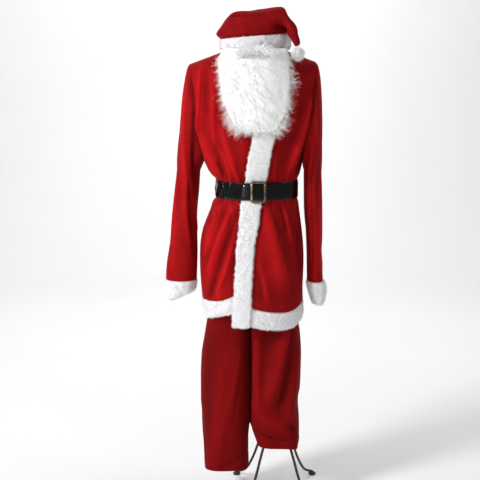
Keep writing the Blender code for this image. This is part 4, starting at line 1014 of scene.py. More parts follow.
for name, front in (("right", right_front), ("left", left_front)):
    plush_piece(f"arm_{name}", *sew_sleeve(name, front), coat_plush, "red_plush", f"sleeve_{name}",
                SLEEVE_FLAT, "back_panel")
LEFT_FRONT_SHADE_DROP = 0.0017  # painted shade laid over the whole left front, which faces away from the strong light
SHADE_BROAD, SHADE_GATHERS = 0.24, 3  # how much the painted fold shade follows the broad folds and the gathers
for name, node_name, face, (points, normals), shade_drop, fine, flat in (
        ("front_panel_right", "coat_front_right", FRONT, right_front, 0.0, 2.3, (0.22, 0.80)),
        ("front_panel_left", "coat_front_left", FRONT, left_front, LEFT_FRONT_SHADE_DROP, 1.2, (0.22, 0.80)),
        ("back_panel", "coat_back", BACK, whole_back, 0.0, 1.2, (0.42, 0.82))):
    x, z = points[..., 0], points[..., 2]
    # Painted shade of each panel's folds, weighted apart from their real height
    lift = fold_height(x, z, face, broad=SHADE_BROAD * fine, fine=fine) + SHADE_GATHERS * gathers(x, z, face)
    # Painted shade: the left front's is set lower, so it is painted darker overall
    plush_piece(name, points, normals, lift - shade_drop, coat_plush, "red_plush", node_name, flat, "torso_form")


# White fur trim: two cuffs, three hem bands and the strip down the front. Each is short synthetic fur on a
# knitted backing, rolled over at its edges and sewn on, with a pile about 4 mm deep.

CUFF = {
    "right": table("row* z_outer z_inner outer inner front back", """
        0 707 707 -250.5 -148.5 46 48
        1 695 700   -254 -147.5 49 50
        2 670 685   -254 -149.5 48 49
        3 647 674   -244   -153 41 43
        4 642 673   -237   -159 36 38
    """),
    "left": table("row* z_outer z_inner outer inner front back", """
        0 704.5 704.5   244 187 51 51
        1   692   693   253 187 54 54
        2   662   665 253.5 194 50 50
        3   633   637 246.5 203 43 43
        4   629   633 240.5 209 38 38
    """),
}
CUFF_WALL, CUFF_STEPS, CUFF_ROWS = 0.009, 90, 30
CUFF_ROLL, CUFF_EDGE = 0.0022, 0.12  # how far its edges roll in, over this share of its height
# A dent in each cuff: its foot and top as shares of the cuff's height, then its turn at the foot, middle
# and top, its width in degrees and its depth
CUFF_DENT = (-1.1, 0.1, 118, 92, 60, 13, -0.0035)
FUR_DEPTH = 0.0035  # the pile stands this far out of the knitted backing


def fur_finish(name, shade, light, sheen=0.6):
    """The backing and roots of white fur, lumpy where the pile parts."""
    made, tree, shader = finish_of(name, Roughness=0.9, Sheen_Weight=sheen, Sheen_Roughness=0.5,
                                   Specular_IOR_Level=0.2)
    patches, grain = speckled(tree, 120, 900)
    colour_between(tree, shader, ranged(tree, patches, 0.35, 0.65), shade, light)
    bumped(tree, shader, worked_out(tree, "ADD", patches, grain), 0.0007)
    return made


def pile_finish(name, root, tip):
    """Fur fibre: shaded at the root, bright at the tip. It reads how far along the blade it is."""
    made, tree, shader = finish_of(name, Roughness=0.7, Sheen_Weight=0.4, Specular_IOR_Level=0.2)
    length = node(tree, "ShaderNodeUVMap", uv_map="UVMap")
    split = node(tree, "ShaderNodeSeparateXYZ", {"Vector": length.outputs["UV"]})
    colour_between(tree, shader, ranged(tree, split.outputs["Y"]), root, tip)
    return made


def lock_of_hair(name, blades, length, width, steps, curl=0.0, waves=1.0, splay=0.3, seed=1):
    """A tuft of tapering blades from one root, straight for fur and wound into a loose wave for hair."""
    draw = np.random.default_rng(seed)
    bm = bmesh.new()
    uv = bm.loops.layers.uv.new("UVMap")
    for _ in range(blades):
        reach, spin, phase = length * draw.uniform(0.75, 1.1), draw.normal(0, 0.5), draw.uniform(0, 6.28)
        lean, root = draw.normal(0, splay, 2), draw.normal(0, width * 0.8, 2)
        flat = np.array([math.cos(spin), math.sin(spin), 0]) * width / 2
        last = None
        for t in np.linspace(0, 1, steps + 1):
            wind = phase + 2 * math.pi * waves * t
            wave = curl * reach * t**0.5 * np.array([math.cos(wind) - math.cos(phase),
                                                     math.sin(wind) - math.sin(phase)])
            middle = np.append(root + lean * reach * t**1.5 + wave, reach * t)
            pair = [bm.verts.new(middle + side * flat * (1 - 0.8 * t)) for side in (-1, 1)]
            if last:
                face = bm.faces.new((last[0], last[1], pair[1], pair[0]))
                for corner, along_it in zip(face.loops, (t - 1 / steps, t - 1 / steps, t, t)):
                    corner[uv].uv = (0.5, along_it)
            last = pair
    return object_of(name, bm)


def hair_skin(name, outer, inner, wrap_sides=True):
    """The surface that hair grows from: the outer face of a wall, and the edges that it rolls over."""
    outer, inner = (np.concatenate([face[:1], face, face[-1:]]) for face in (outer, inner))
    outer[0], outer[-1] = inner[0], inner[-1]
    if wrap_sides:
        outer, inner = (np.concatenate([face[:, :1], face, face[:, -1:]], axis=1) for face in (outer, inner))
        outer[:, 0], outer[:, -1] = inner[:, 0], inner[:, -1]
    bm, place = laid_grid(outer)
    face_out(bm, place, inner.reshape(-1, 3))
    return object_of(name, bm)


def grow_hair(name, skin, tuft, per_m2, comb, finish, slot, stray=0.35, stand=1.0, sizes=(0.7, 1.25),
              twist=0.5, seed=1):
    """Tufts spread over a skin and laid along the comb, flat side out, then made into one mesh."""
    tree = bpy.data.node_groups.new(f"{name}_growth", "GeometryNodeTree")
    for way in ("INPUT", "OUTPUT"):
        tree.interface.new_socket("Geometry", in_out=way, socket_type="NodeSocketGeometry")

    def step(kind, feeds=None, **settings):
        return node(tree, kind, feeds, **settings).outputs

    def drawn(number, low, high, kind, ends):
        feeds = {ends[0]: low, ends[1]: high, "Seed": seed + number}
        return step("FunctionNodeRandomValue", feeds, data_type=kind)
    roots = step("GeometryNodeDistributePointsOnFaces",
                 {"Mesh": node(tree, "NodeGroupInput").outputs[0], "Seed": seed, "Density": per_m2})
    wander = drawn(1, (-stray,) * 3, (stray,) * 3, "FLOAT_VECTOR", (0, 1))
    spin, size = drawn(2, -twist, twist, "FLOAT", (2, 3)), drawn(3, *sizes, "FLOAT", (2, 3))
    upright = step("ShaderNodeVectorMath", {0: roots["Normal"], "Scale": stand}, operation="SCALE")
    leaned = step("ShaderNodeVectorMath", {0: upright[0], 1: comb}, operation="ADD")
    strayed = step("ShaderNodeVectorMath", {0: leaned[0], 1: wander[0]}, operation="ADD")
    aim = step("FunctionNodeAlignRotationToVector", {"Vector": strayed[0]}, axis="Z")
    laid = step("FunctionNodeAlignRotationToVector", {"Rotation": aim[0], "Vector": roots["Normal"]},
                axis="Y", pivot_axis="Z")
    about = step("FunctionNodeAxisAngleToRotation", {"Axis": (0, 0, 1), "Angle": spin[1]})
    turned_about = step("FunctionNodeRotateRotation", {"Rotation": laid[0], "Rotate By": about[0]},
                        rotation_space="LOCAL")
    shape = step("GeometryNodeObjectInfo", {"Object": tuft})
    planted = step("GeometryNodeInstanceOnPoints",
                   {"Points": roots["Points"], "Instance": shape["Geometry"], "Rotation": turned_about[0],
                    "Scale": size[1]})
    made_real = step("GeometryNodeRealizeInstances", {"Geometry": planted[0]})
    tree.links.new(made_real[0], node(tree, "NodeGroupOutput").inputs[0])
    skin.modifiers.new("growth", "NODES").node_group = tree
    mesh = bpy.data.meshes.new_from_object(skin.evaluated_get(bpy.context.evaluated_depsgraph_get()))
    mesh.name = name
    mesh.materials.clear()
    made = linked(name, mesh)
    bpy.data.objects.remove(skin)
    bpy.data.objects.remove(tuft)
    return show(made, finish, slot)


def lumps(points, size, height):
    """Low soft mounds, closer together than folds: how fur bunches."""
    x, y, z = (points[..., k] / size for k in range(3))
    return height * np.sin(6.1 * x + 2 * np.sin(1.9 * z)) * np.sin(5.3 * z + 2 * np.sin(2.3 * x + y))


# The backing and the fibre roots are painted greyer than the tips, as painted shade deep in the pile
fur_base = fur_finish("fur_backing", shade=(0.80, 0.80, 0.82), light=(0.88, 0.88, 0.89))
fur_pile = pile_finish("fur_pile", root=(0.80, 0.80, 0.82), tip=(0.91, 0.91, 0.91))
PILE_PER_M2, DOWNWARD = 83000, (0.0, 0.0, -0.55)
FUR_TUFT = {"blades": 4, "length": 0.0040, "width": 0.0009, "steps": 2, "splay": 0.45}


def fur_piece(name, outer, inner, node_name, sides=True, seed=1):
    """A band of fur: its backing as a sheet, and its pile grown over the face and round the edges."""
    backing = show(cloth_wall(name, outer, inner), fur_base, "white_fur", node_name)
    tuft = lock_of_hair(f"{name}_tuft", seed=seed, **FUR_TUFT)
    pile = grow_hair(f"{name}_pile", hair_skin(f"{name}_skin", outer, inner, sides), tuft, PILE_PER_M2,
                     DOWNWARD, fur_pile, "white_fur", stray=0.5, stand=0.55, seed=seed)


for seed, name, flat in ((11, "right", (0.30, 0.055)), (12, "left", (0.27, 0.065))):
    rings = np.array([arm_ring(outer, inner, front, back, z_outer, z_inner, CUFF_STEPS)
                      for _, z_outer, z_inner, outer, inner, front, back in zip(*CUFF[name].values())])
    rings = refined(rings, CUFF_ROWS)
    across = unit((rings - rings.mean(axis=1, keepdims=True)) * (1, 1, 0))
    down = np.linspace(0, 1, CUFF_ROWS)[:, None]
    rolled = CUFF_ROLL * (1 - np.minimum(np.minimum(down, 1 - down) / CUFF_EDGE, 1)) ** 2
    turn = np.degrees(full_turn(CUFF_STEPS))
    dent = soft_fold(turn + 0 * down, -down + 0 * turn, *CUFF_DENT)
    out = -FUR_DEPTH - rolled + lumps(rings, 0.03, 0.0009) + dent
    fur_piece(f"fur_cuff_{name}", moved(rings, across, out), rings - across * CUFF_WALL, f"cuff_{name}",
              sides=False, seed=seed)

HEM_ROUND = table("down* stand*", "0 0.35; 0.12 0.85; 0.5 1; 0.86 0.85; 1 0.35")
HEM_ROWS = np.linspace(0, 1, 20)
HEM_FUR = {"out": 0.003, "in": -0.006, "lap out": -0.0042, "lap in": -0.0095, "least": 0.0015}


def band_places(face, name):
    """X and Z of half a hem band. Its columns carry on from those of the panel above."""
    inner, hem = (part["back" if face == BACK else name] for part in (INNER, HEM))
    rows = []
    for down in HEM_ROWS:

        def height(x):
            top = along(hem, "top", x) - SEAM * 1.5
            return top + (along(hem, "low", x) - top) * down
        rows.append(bent_row(inner, name, HEM_LEVEL, height))
    return np.array(rows).transpose(1, 0, 2)


right_band = band_places(FRONT, "right")
for seed, name, face, places, flat, rests_on, lap in (
        (21, "right", FRONT, right_band, (0.20, 0.060), "front_panel_right", lap_share(*right_band)),
        (22, "left", FRONT, band_places(FRONT, "left")[:, :, 2:], (0.24, 0.060), "front_panel_left", 0.0),
        (23, "back", BACK, both_halves(band_places), (0.44, 0.060), "back_panel", 0.0)):
    points, normals = panel_surface(*places, face)
    stand = along(HEM_ROUND, "stand", HEM_ROWS)[:, None] * (HEM_FUR["out"] - HEM_FUR["in"]) + HEM_FUR["in"]
    stand = stand - FUR_DEPTH * 0.8 + lumps(points, 0.035, 0.0010)
    out = stand + (np.minimum(stand, HEM_FUR["lap out"]) - stand) * lap
    low = HEM_FUR["in"] + (HEM_FUR["lap in"] - HEM_FUR["in"]) * lap + np.zeros_like(out)
    out = np.maximum(out, low + HEM_FUR["least"])
    fur_piece(f"fur_hem_{name}", moved(points, normals, out), moved(points, normals, low), f"hem_band_{name}",
              seed=seed)

STRIP_ROUND = table("across* stand*", "-1 0.4; -0.86 0.9; 0 1; 0.86 0.9; 1 0.4")
STRIP_PRESSED, STRIP_EASE = 0.034, 0.030  # height kept thin either side of the belt, then the rise
STRIP_LOW, STRIP_ROWS, STRIP_COLUMNS = 0.583, 150, 25
TRIM_THICK, TRIM_UNDER_BELT, STRIP_CLEAR = 0.0120, 0.0045, 0.0009
RAGGED, LEAST_BACKING = 0.0012, 0.0012  # how far its edges wander, and its backing at the thinnest


def on_coat(x, z, face, out):
    """Points on the coat's front or back, moved out along its surface."""
    tiny = 1e-4
    slope_x = (coat_depth(x + tiny, z, face) - coat_depth(x - tiny, z, face)) / (2 * tiny)
    slope_z = (coat_depth(x, z + tiny, face) - coat_depth(x, z - tiny, face)) / (2 * tiny)
    normal = unit(np.stack([-slope_x, np.full_like(slope_x, face), -slope_z], axis=-1))
    base = np.stack([x, face * coat_depth(x, z, face), z], axis=-1)
    return moved(base, normal, fold_height(x, z, face) + out)


level = np.linspace(STRIP_LOW, upper_level(1.0, FRONT) - 0.0005, STRIP_ROWS)[:, None]
across = np.sin(np.linspace(-1, 1, STRIP_COLUMNS) * math.pi / 2)
ragged = RAGGED * np.sin(level / 0.0053 + 2 * np.sin(level / 0.017)) * np.sign(across) * across**8
strip_x = strip_middle(level) + along(TRIM, "half", level) * across + ragged
strip_z = np.broadcast_to(level, strip_x.shape)
free = ramp((np.abs(strip_z - BELT_Z) - STRIP_PRESSED) / STRIP_EASE)  # 0 where the belt presses it
thick = TRIM_UNDER_BELT + (TRIM_THICK - TRIM_UNDER_BELT) * free
backing = thick * along(STRIP_ROUND, "stand", across)
backing = np.maximum(backing - FUR_DEPTH * (0.35 + 0.65 * ramp(free)), LEAST_BACKING)
at_strip = on_coat(strip_x, strip_z, FRONT, STRIP_CLEAR)
backing = backing + lumps(at_strip, 0.032, 0.0011) * ramp(free)
fur_piece("fur_front_strip", on_coat(strip_x, strip_z, FRONT, STRIP_CLEAR + backing), at_strip,
          "front_strip", seed=31)


# Belt. A wide strap of thin black vinyl with a high gloss, pulled tight over coat and strip. It has
# crumpled into short upright wrinkles beside the buckle's free end. The buckle is a plain brass frame, aged
# in its corners, which the strap passes behind.

BELT_CLEAR, BELT_THICK, BELT_THINNED = 0.0010, 0.0030, 0.0009  # its edges are pressed thinner
BUCKLE = {"x": 0.0370, "z": 0.9925, "half_x": 0.0220, "half_z": 0.0325, "bar": 0.0065, "thick": 0.0040}
FRAME_STEPS, BAR_STEPS, BUCKLE_CLEAR = 200, 24, 0.0008
FRAME_CORNER, BAR_CORNER = 0.16, 0.5  # the smaller, the squarer the frame and its bar
BELT_LIFT = 0.030  # width over which the belt climbs onto the strip
BELT_ROWS, BELT_COLUMNS = 15, 600
WRINKLES = table("x lean* width height", """
      -96  0.14 1.9 1.6
      -88 -0.22 1.5 2.2
    -81.5  0.16 1.8 1.8
    -75.5  -0.1 1.4 2.4
      -69  0.26 1.6 1.8
    -62.5 -0.16 1.5 2.3
      -56  0.08 1.3 1.2
      -50  0.24 1.2 1.2
    -43.5 -0.12 1.2 0.8
      -36   0.1 1.4 0.5
       88  0.12   3 0.8
      112 -0.15 2.6 0.9
      137   0.1   3 0.9
""")


def belt_reach(x, z):
    """How far the belt's back stands out from the coat: over the front strip it lies on the strip."""
    before = ramp((x - trim_edge(z, RIGHT, BELT_LIFT)) / BELT_LIFT)
    over = before * ramp((trim_edge(z, LEFT, BELT_LIFT) - x) / BELT_LIFT)
    return BELT_CLEAR + (STRIP_CLEAR + TRIM_UNDER_BELT) * over


def glossy_vinyl():
    """Embossed vinyl under a clear gloss, with a faint leather grain and fine rub marks."""
    made, tree, shader, share, _ = worn_finish(
        "glossy_vinyl", (45, 1100), (0.002, 0.002, 0.0022), (0.005, 0.005, 0.0052), Coat_Weight=0.70,
        Coat_Roughness=0.03, Coat_IOR=1.34, Specular_IOR_Level=0.10)
    tree.links.new(ranged(tree, share, low=0.12, high=0.34), shader.inputs["Roughness"])
    pores = node(tree, "ShaderNodeTexVoronoi", {"Vector": on_object(tree), "Scale": 620.0})
    bumped(tree, shader, pores.outputs["Distance"], 0.00010, 0.4)
    return made


def aged_brass():
    """Plated brass, brown in its low places and bright where it has been handled."""
    made, tree, shader, share, _ = worn_finish(
        "aged_brass_plate", (95, 1400), (0.070, 0.047, 0.029), (0.31, 0.232, 0.145), spread=(0.36, 0.60),
        grain_bump=0.0002, Metallic=1.0)
    tree.links.new(ranged(tree, share, low=0.52, high=0.24), shader.inputs["Roughness"])
    return made


turn = full_turn(BELT_COLUMNS)
rings = []
for z in np.linspace(BELT_HIGH, BELT_LOW, BELT_ROWS):
    right, left, front, back = (along(COAT, side, z) for side in ("right", "left", "front", "back"))
    x, y = oval(turn, BODY_X - right, left - BODY_X, front, back)
    rings.append(np.stack([BODY_X + x, y, np.full_like(x, z)], axis=-1))
rings = np.array(rings)
outward = ring_normals(rings, BODY_X)
down = np.linspace(-1, 1, BELT_ROWS)[:, None]
x, y, z = (rings[..., k] for k in range(3))
crumple = cloth_ripple(rings, 0.05, 0.0003)
for at, lean, width, height in zip(*WRINKLES.values()):
    crumple += height * bell((x - at - lean * (z - BELT_Z)) / width) * (y < 0)
reach = np.where(y < 0, belt_reach(x, z), BELT_CLEAR)
thick = BELT_THICK - BELT_THINNED * np.abs(down) ** 10
belt = cloth_wall("vinyl_belt", moved(rings, outward, reach + thick + crumple), moved(rings, outward, reach))
show(belt, glossy_vinyl(), "black_vinyl", "belt")

path, section = full_turn(FRAME_STEPS)[:, None], full_turn(BAR_STEPS)[None, :]
grow = BUCKLE["bar"] / 2 * (signed_power(np.cos(section), BAR_CORNER) - 1)
x = BUCKLE["x"] + (BUCKLE["half_x"] + grow) * signed_power(np.cos(path), FRAME_CORNER)
z = BUCKLE["z"] + (BUCKLE["half_z"] + grow) * signed_power(np.sin(path), FRAME_CORNER)
rise = BUCKLE["thick"] / 2 * (1 + signed_power(np.sin(section), BAR_CORNER)) + np.zeros_like(x)
level = np.clip(z, BELT_LOW, BELT_HIGH)
frame_points = on_coat(x, level, FRONT, belt_reach(x, level) + BELT_THICK + BUCKLE_CLEAR + rise)
frame_points[..., 2] += z - level
bm, _ = laid_grid(frame_points)
bmesh.ops.recalc_face_normals(bm, faces=bm.faces)
show(object_of("brass_buckle", bm, sharp_deg=50), aged_brass(), "aged_brass", "buckle")


# Hat. A long cone of red plush on a band of white fur. It has flopped over to the wearer's left, where it
# folds sharply and hangs down to a pompom at its tip.

HAT_X, HAT_HALF, HAT_DEEP = 0.0270, 0.1035, 0.0885
HAT = table("row* outer_x outer_z inner_x inner_z y deep", """
     0 -76.5 1436.9 130.5 1452.9   0 88.5
     1 -88.5   1452   133   1460   0 91.5
     2   -74 1474.5   130   1468   0   90
     3   -58   1498   124   1472  -4   85
     4   -35   1515   120   1473 -10   79
     5    -4 1518.5   118   1472 -18   70
     6    48   1522 117.5 1469.5 -28   59
     7 104.5   1529   118   1466 -40   47
     8   124   1501   119   1459 -53   37
     9   144 1474.5   121   1450 -66   29
    10   154   1444   130   1437 -73   21
    11   158   1426   139 1420.5 -78   13
    12   154   1417   143 1414.5 -79  5.5
""")
HAT_STEPS, HAT_SQUARE, HAT_ROWS = 112, 2.17, 78
HAT_SEWN = 0.021818  # the share of the way up the crown that its seam with the band draws in
HAT_FOLD_SHADE, HAT_DARKENED = 0.7, 0.0024  # how much the painted fold shade follows the folds, and how much darker the hat is coloured overall
# Turn from the front, towards the left
BAND_LEVELS = table("turn* low", """
    -180   1405
    -135   1406
     -90 1410.5
     -45 1404.5
       0 1400.5
      45   1397
      90   1411
     135   1408
     180   1405
""")
BAND_TOP, BAND_TILT = 1.4449, 0.0080  # height of the band's top edge in the middle, and its rise
BAND_OUT, BAND_IN = 0.0060, -0.0060
BAND_STEPS, BAND_ROWS = 150, 22
DENT_X, DENT_WIDE, DENT_DEEP = 0.070, 0.020, 0.003  # where the fur of the band is pushed in
BAND_ROUND = table("down* stand*", "0 0.5; 0.12 0.95; 0.5 1; 0.88 0.95; 1 0.5")
POMPOM = {"x": 0.1505, "y": -0.0820, "z": 1.3942, "radius": 0.0212}
POMPOM_PILE = 0.0065  # how far the pile reaches past the pompom's core
# Creases of the crown, as places in the front view: each runs from one end to the other
HAT_CREASES = table("face* x_from z_from x_to z_to width height", """
    front -56 1502  12 1505   5 -6.2
    front -40 1489  30 1492   8  1.2
    front  30 1486 100 1478   6  1.4
    front  78 1474 124 1462   5   -2
    front  70 1484 128 1474   5  1.6
    front 116 1470 146 1428   5 -3.6
    front 136 1500 152 1450 4.5  1.8
    front  10 1514  90 1520   8  1.2
    front -70 1470 -30 1462   6  1.4
     back -60 1470  10 1498   7    4
     back -30 1462  50 1476   6 -3.5
     back  20 1500  90 1478   6  3.5
     back  70 1496 120 1470   5   -3
""")


def line_crease(x, z, from_x, from_z, to_x, to_z, width, height):
    """A short crease along a straight line in the front view, fading at both ends."""
    run, climb = to_x - from_x, to_z - from_z
    length = math.hypot(run, climb)
    t = ((x - from_x) * run + (z - from_z) * climb) / length**2
    away = ((x - from_x) * climb - (z - from_z) * run) / length
    return height * ramp(np.minimum(t, 1 - t) / 0.3) * bell(away / width)


def hat_normals(points):
    """Outward normals of the crown. At the tip they point along it."""
    normals = grid_normals(points, closed=True)
    normals *= np.sign(np.mean(normals[0, :, 0] * (points[0, :, 0] - HAT_X)))
    normals[-1] = unit(points[-1].mean(axis=0) - points[-3].mean(axis=0))
    return normals


swing = full_turn(HAT_STEPS)
across = signed_power(np.cos(swing), 2 / HAT_SQUARE)
rings = []
for _, outer_x, outer_z, inner_x, inner_z, y, deep in zip(*HAT.values()):
    x = (outer_x + inner_x) / 2 + (outer_x - inner_x) / 2 * across
    z = (outer_z + inner_z) / 2 + (outer_z - inner_z) / 2 * across
    rings.append(np.stack([x, y - deep * signed_power(np.sin(swing), 2 / HAT_SQUARE), z], axis=-1))
points = refined(np.array(rings), HAT_ROWS)
row = np.linspace(0, 1, HAT_ROWS)[:, None]
face = np.where(points[..., 1] < points[..., 1].mean(axis=1, keepdims=True), FRONT, BACK)
lift = cloth_ripple(points, 0.055, 0.0013)
for side, *crease in zip(*HAT_CREASES.values()):
    lift += line_crease(points[..., 0], points[..., 2], *crease) * (face == side)
lift *= ramp(row / 0.06) * ramp((1 - row) / 0.12)
lift -= SEAM_DIP * bell(row / HAT_SEWN)
points = moved(points, hat_normals(points), lift)
# Painted shade of the crown's creases, with the whole hat coloured a little darker
crown = cloth_wall("hat_cone", points, points - hat_normals(points) * PLUSH, cap_last=True,
                   lift=HAT_FOLD_SHADE * lift - HAT_DARKENED)
show(crown, coat_plush, "red_plush", "hat_crown")

turn = full_turn(BAND_STEPS)
down = np.linspace(0, 1, BAND_ROWS)[:, None]
low = along(BAND_LEVELS, "low", (np.degrees(turn) + 180) % 360 - 180)
x, y = oval(turn, HAT_HALF, HAT_HALF, HAT_DEEP, HAT_DEEP, HAT_SQUARE)
high = BAND_TOP + BAND_TILT * x / HAT_HALF - SEAM * 1.5
points = np.stack([HAT_X + x + 0 * down, y + 0 * down, high + (low - high) * down], axis=-1)
outward = unit(ring_normals(points, HAT_X) * (1, 1, 0))
stand = BAND_OUT * along(BAND_ROUND, "stand", down) - FUR_DEPTH + lumps(points, 0.03, 0.0008)
stand = stand - DENT_DEEP * bell((points[..., 0] - DENT_X) / DENT_WIDE) * (points[..., 1] < 0)
fur_piece("fur_hat_band", moved(points, outward, stand), points + outward * BAND_IN, "hat_band",
          sides=False, seed=41)

# The pompom's pile is coloured lighter than the other fur: painted light against the shade that the hat and
# beard cast on it
pompom_pile = pile_finish("pompom_pile", root=(0.97, 0.97, 0.955), tip=(0.99, 0.99, 0.98))
bm = bmesh.new()
bmesh.ops.create_icosphere(bm, subdivisions=4, radius=POMPOM["radius"] - POMPOM_PILE, calc_uvs=True)
bmesh.ops.translate(bm, verts=bm.verts, vec=(POMPOM["x"], POMPOM["y"], POMPOM["z"]))
pompom = show(object_of("pompom_core", bm), fur_base, "white_fur", "hat_pompom")
tuft = lock_of_hair("pompom_tuft", blades=8, length=0.0084, width=0.0008, steps=2, splay=0.55, seed=51)
grow_hair("pompom_pile", smooth_copy("pompom_skin", pompom.data), tuft, per_m2=300000,
          comb=(0.0, 0.0, -0.1), finish=pompom_pile, slot="white_fur", stray=1.3, stand=0.40, seed=51)


# Beard and moustache. Crimped white fibre on a soft backing, teased out so that it stands away in waves and
# ends in loose wisps. The moustache is a thicker roll of the same fibre with its halves combed apart. An
# elastic runs from the beard's corners round the back of the neck.

BEARD = table("z right left back thick wrap", """
    1170    10    68   -130  6  0
    1179   -15    86 -130.5 14  1
    1196   -36   100 -130.5 22  3
    1230   -52   115 -129.2 27  7
    1258   -63   121 -126.4 28 10
    1286   -71   124 -122.8 28 14
    1320   -74   127   -116 28 18
    1353 -78.5   125   -108 27 22
    1381 -78.5 126.5   -102 25 22
    1397   -72   123   -100 21 20
    1409   -65   119  -99.5 15 18
""")
BEARD_COLUMNS, BEARD_EDGE, BEARD_ROWS = 64, 0.30, 84
BEARD_SET, COMBED = 0.0025, 0.0006  # how far back the combed face is set, and how deep it is combed
HAIRY = slice(4, -10)  # the rows of the beard that its locks grow from
MOUSTACHE = table("x z half_high half_deep", """
    -28.5   1393    2   2
      -20   1396    8   7
       -5   1402 12.5 9.5
       15   1406   15  11
       30 1405.5   14  11
       47   1406   15  11
       66 1402.5 12.5 9.5
       80 1397.5    8   7
     88.5   1395    2   2
""")
MOUSTACHE_Y, MOUSTACHE_STEPS, MOUSTACHE_ROWS = -0.1304, 36, 64
ROLL, ROLL_UNEVEN = 0.80, 0.10  # size of the roll under the hair, as a share of the moustache
RIGHT_END, LEFT_START = 36, 28  # rows where the halves of its hair stop; they overlap in the middle


def combed(points, height):
    """Waves of hair combed downwards: uneven grooves that wander from side to side."""
    x, z = points[..., 0], points[..., 2]
    line = x + 0.0040 * np.sin(z / 0.0085 + 60 * x) + 0.006 * np.sin(z / 0.031)
    waves = np.sin(line / 0.0026) + 0.7 * np.sin(line / 0.0041 + z / 0.019) + 0.5 * np.sin(line / 0.0015)
    return height * (waves - 1.2) / 2.2


share = np.sin(np.linspace(-1, 1, BEARD_COLUMNS) * math.pi / 2)
front, behind = [], []
for z, right, left, back, thick, wrap in zip(*BEARD.values()):
    x = (right + left) / 2 + (left - right) / 2 * share
    y = back + wrap * share**2
    swell = thick * (BEARD_EDGE + (1 - BEARD_EDGE) * np.sqrt(1 - share**2))
    front.append(np.stack([x, y - swell, np.full_like(x, z)], axis=-1))
    behind.append(np.stack([x, y, np.full_like(x, z)], axis=-1))
front, behind = (refined(np.array(face), BEARD_ROWS) for face in (front, behind))
front[..., 1] += (BEARD_SET - combed(front, COMBED)) * ramp((1 - np.abs(share)) / 0.25)
hair_base = fur_finish("hair_backing", shade=(0.93, 0.94, 0.93), light=(0.97, 0.975, 0.965), sheen=0.4)
hair = pile_finish("crimped_hair", root=(0.965, 0.975, 0.96), tip=(0.99, 0.993, 0.985))
beard = show(cloth_wall("beard_body", front, behind), hair_base, "beard_hair", "beard")
lock = lock_of_hair("beard_lock", blades=9, length=0.017, width=0.0006, steps=5, curl=0.13, waves=1.3,
                    splay=0.30, seed=61)
grow_hair("beard_locks", hair_skin("beard_skin", front[HAIRY], behind[HAIRY]), lock, per_m2=32000,
          comb=(0.0, -0.10, -0.8), finish=hair, slot="beard_hair", stray=0.75, stand=0.16,
          sizes=(0.5, 1.1), seed=61)

# Loose curls along each edge of the beard, teased outwards
middle = (front + behind) / 2
for seed, (edge, line, comb, count, long) in enumerate((
        ("right", middle[10:-14, 1], (-0.7, -0.2, -0.8), 60, 0.030),
        ("left", middle[10:-14, -2], (0.75, -0.2, -0.75), 80, 0.036),
        ("low_right", middle[4:24, 2], (-0.6, -0.2, -0.8), 50, 0.030),
        ("low_left", middle[4:24, -3], (0.65, -0.2, -0.8), 55, 0.032),
        ("low", middle[3, 6:-6], (0.0, -0.2, -1.0), 90, 0.018)), 71):
    name = f"wisps_{edge}"
    bm, _ = laid_grid(np.stack([line, line + np.array([0, 0.006, 0])], axis=1))
    area = sum(face.calc_area() for face in bm.faces)
    lock = lock_of_hair(f"{name}_lock", blades=3, length=long, width=0.0013, steps=14, curl=0.13,
                        waves=1.6, splay=0.26, seed=seed)
    grow_hair(name, object_of(f"{name}_skin", bm), lock, per_m2=count / area, comb=comb, finish=hair,
              slot="beard_hair", stray=0.65, stand=0.0, sizes=(0.4, 1.1), seed=seed)

turn = full_turn(MOUSTACHE_STEPS)
rings = refined(np.array([
    np.stack([np.full_like(turn, x), MOUSTACHE_Y + deep * np.cos(turn), z + high * np.sin(turn)], axis=-1)
    for x, z, high, deep in zip(*MOUSTACHE.values())]), MOUSTACHE_ROWS)
middle = rings.mean(axis=1, keepdims=True)
uneven_roll = ROLL + ROLL_UNEVEN * np.sin(rings[..., :1] / 0.0021 + rings[..., 2:] / 0.004)
core = middle + (rings - middle) * uneven_roll
bm, place = laid_grid(core)
for end in (0, len(core) - 1):
    cap_row(bm, place, end, len(turn))
bmesh.ops.recalc_face_normals(bm, faces=bm.faces)
roll = show(object_of("moustache_roll", bm), hair_base, "beard_hair", "moustache")
for seed, name, part, comb in ((81, "right", core[:RIGHT_END], (-1.0, -0.3, -0.25)),
                               (82, "left", core[LEFT_START:], (1.0, -0.3, -0.25))):
    bm, place = laid_grid(part)
    face_out(bm, place, np.broadcast_to(part.mean(axis=1, keepdims=True), part.shape).reshape(-1, 3))
    lock = lock_of_hair(f"moustache_lock_{name}", blades=9, length=0.011, width=0.0008, steps=5, curl=0.10,
                        waves=1.2, splay=0.25, seed=seed)
    grow_hair(f"moustache_hair_{name}", object_of(f"moustache_skin_{name}", bm), lock, per_m2=62000,
              comb=comb, finish=hair, slot="beard_hair", stray=0.70, stand=0.12, seed=seed)
elastic = ribbed_finish("braided_elastic", (80, 900), (0.72, 0.72, 0.73), (0.86, 0.86, 0.87), "Z",
                        {"Scale": 420.0, "Distortion": 0.6}, Roughness=0.7, Sheen_Weight=0.2)
show(smooth_copy("neck_elastic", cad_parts["beard_elastic"].data), elastic, "white_elastic",
     "beard_elastic")


# Studio. A pale seamless floor that curves up behind the stand. A strong soft light stands to the wearer's
# front right and above, with weak lights from the left and from low in front, and one for the wall. The
# camera is about as high as the shoulders.

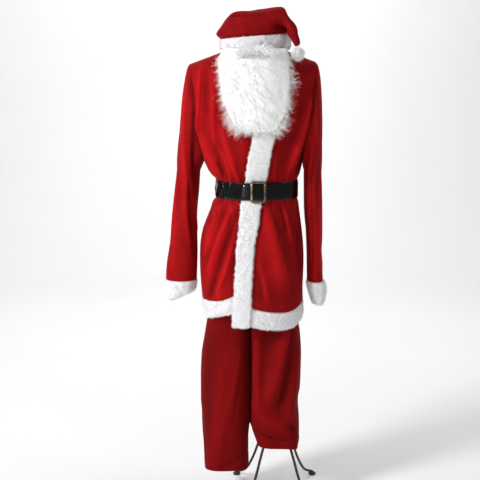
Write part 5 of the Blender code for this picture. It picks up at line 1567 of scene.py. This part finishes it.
AIM, CAMERA_TILT, AIR = (0.03, 0.0, 0.95), 79.6, 0.24
FLOOR_HALF, FLOOR_BACK, FLOOR_BEND, WALL_TOP, FLOOR_BELOW = 7.0, 2.9, 1.5, 7.0, 0.0004


def backdrop():
    """One sheet that runs along the floor and bends up into a wall behind."""
    bend = [(FLOOR_BACK + FLOOR_BEND * math.sin(a), FLOOR_BEND - FLOOR_BEND * math.cos(a))
            for a in np.linspace(0, math.pi / 2, 24)]
    profile = [(-FLOOR_HALF, 0.0)] + bend + [(FLOOR_BACK + FLOOR_BEND, WALL_TOP)]
    points = np.array([[(x, y, z - FLOOR_BELOW) for x in (-FLOOR_HALF, FLOOR_HALF)] for y, z in profile])
    bm, _ = laid_grid(points)
    made = object_of("backdrop", bm, sharp_deg=60)
    finish, *_ = worn_finish("painted_backdrop", (1.5, 60), (0.84,) * 3, (0.89,) * 3, grain_bump=0.0004,
                             Roughness=0.9)
    made.data.materials.append(finish)


def soft_light(name, place, aim, power, size):
    """A large square lamp turned towards a point."""
    lamp = bpy.data.lights.new(name, "AREA")
    lamp.energy, lamp.size = power, size
    made = linked(name, lamp)
    made.location = place
    made.rotation_euler = (Vector(aim) - Vector(place)).to_track_quat("-Z", "Y").to_euler()


backdrop()
soft_light("key_light", (-2.8, -1.9, 2.6), AIM, power=122, size=0.8)
soft_light("side_light", (2.5, -0.5, 1.9), AIM, power=15, size=0.9)
soft_light("front_light", (-1.1, -3.3, 0.85), AIM, power=22, size=0.28)
soft_light("wall_light", (0.0, 1.6, 3.6), (0.0, 4.2, 0.7), power=90, size=2.0)
world = bpy.data.worlds.new("studio_air")
world.use_nodes = True
air = world.node_tree.nodes["Background"].inputs
air["Color"].default_value, air["Strength"].default_value = (1.0, 1.0, 1.0, 1.0), AIR
scene = bpy.context.scene
scene.world = world
scene.view_settings.view_transform = "Standard"
lens = bpy.data.cameras.new("camera")
lens.lens, lens.sensor_width = 74.1, 36.0
viewer = linked("camera", lens)
viewer.location = (-0.017, -3.0, 1.38)
viewer.rotation_euler = (math.radians(CAMERA_TILT), 0, 0)
scene.camera = viewer
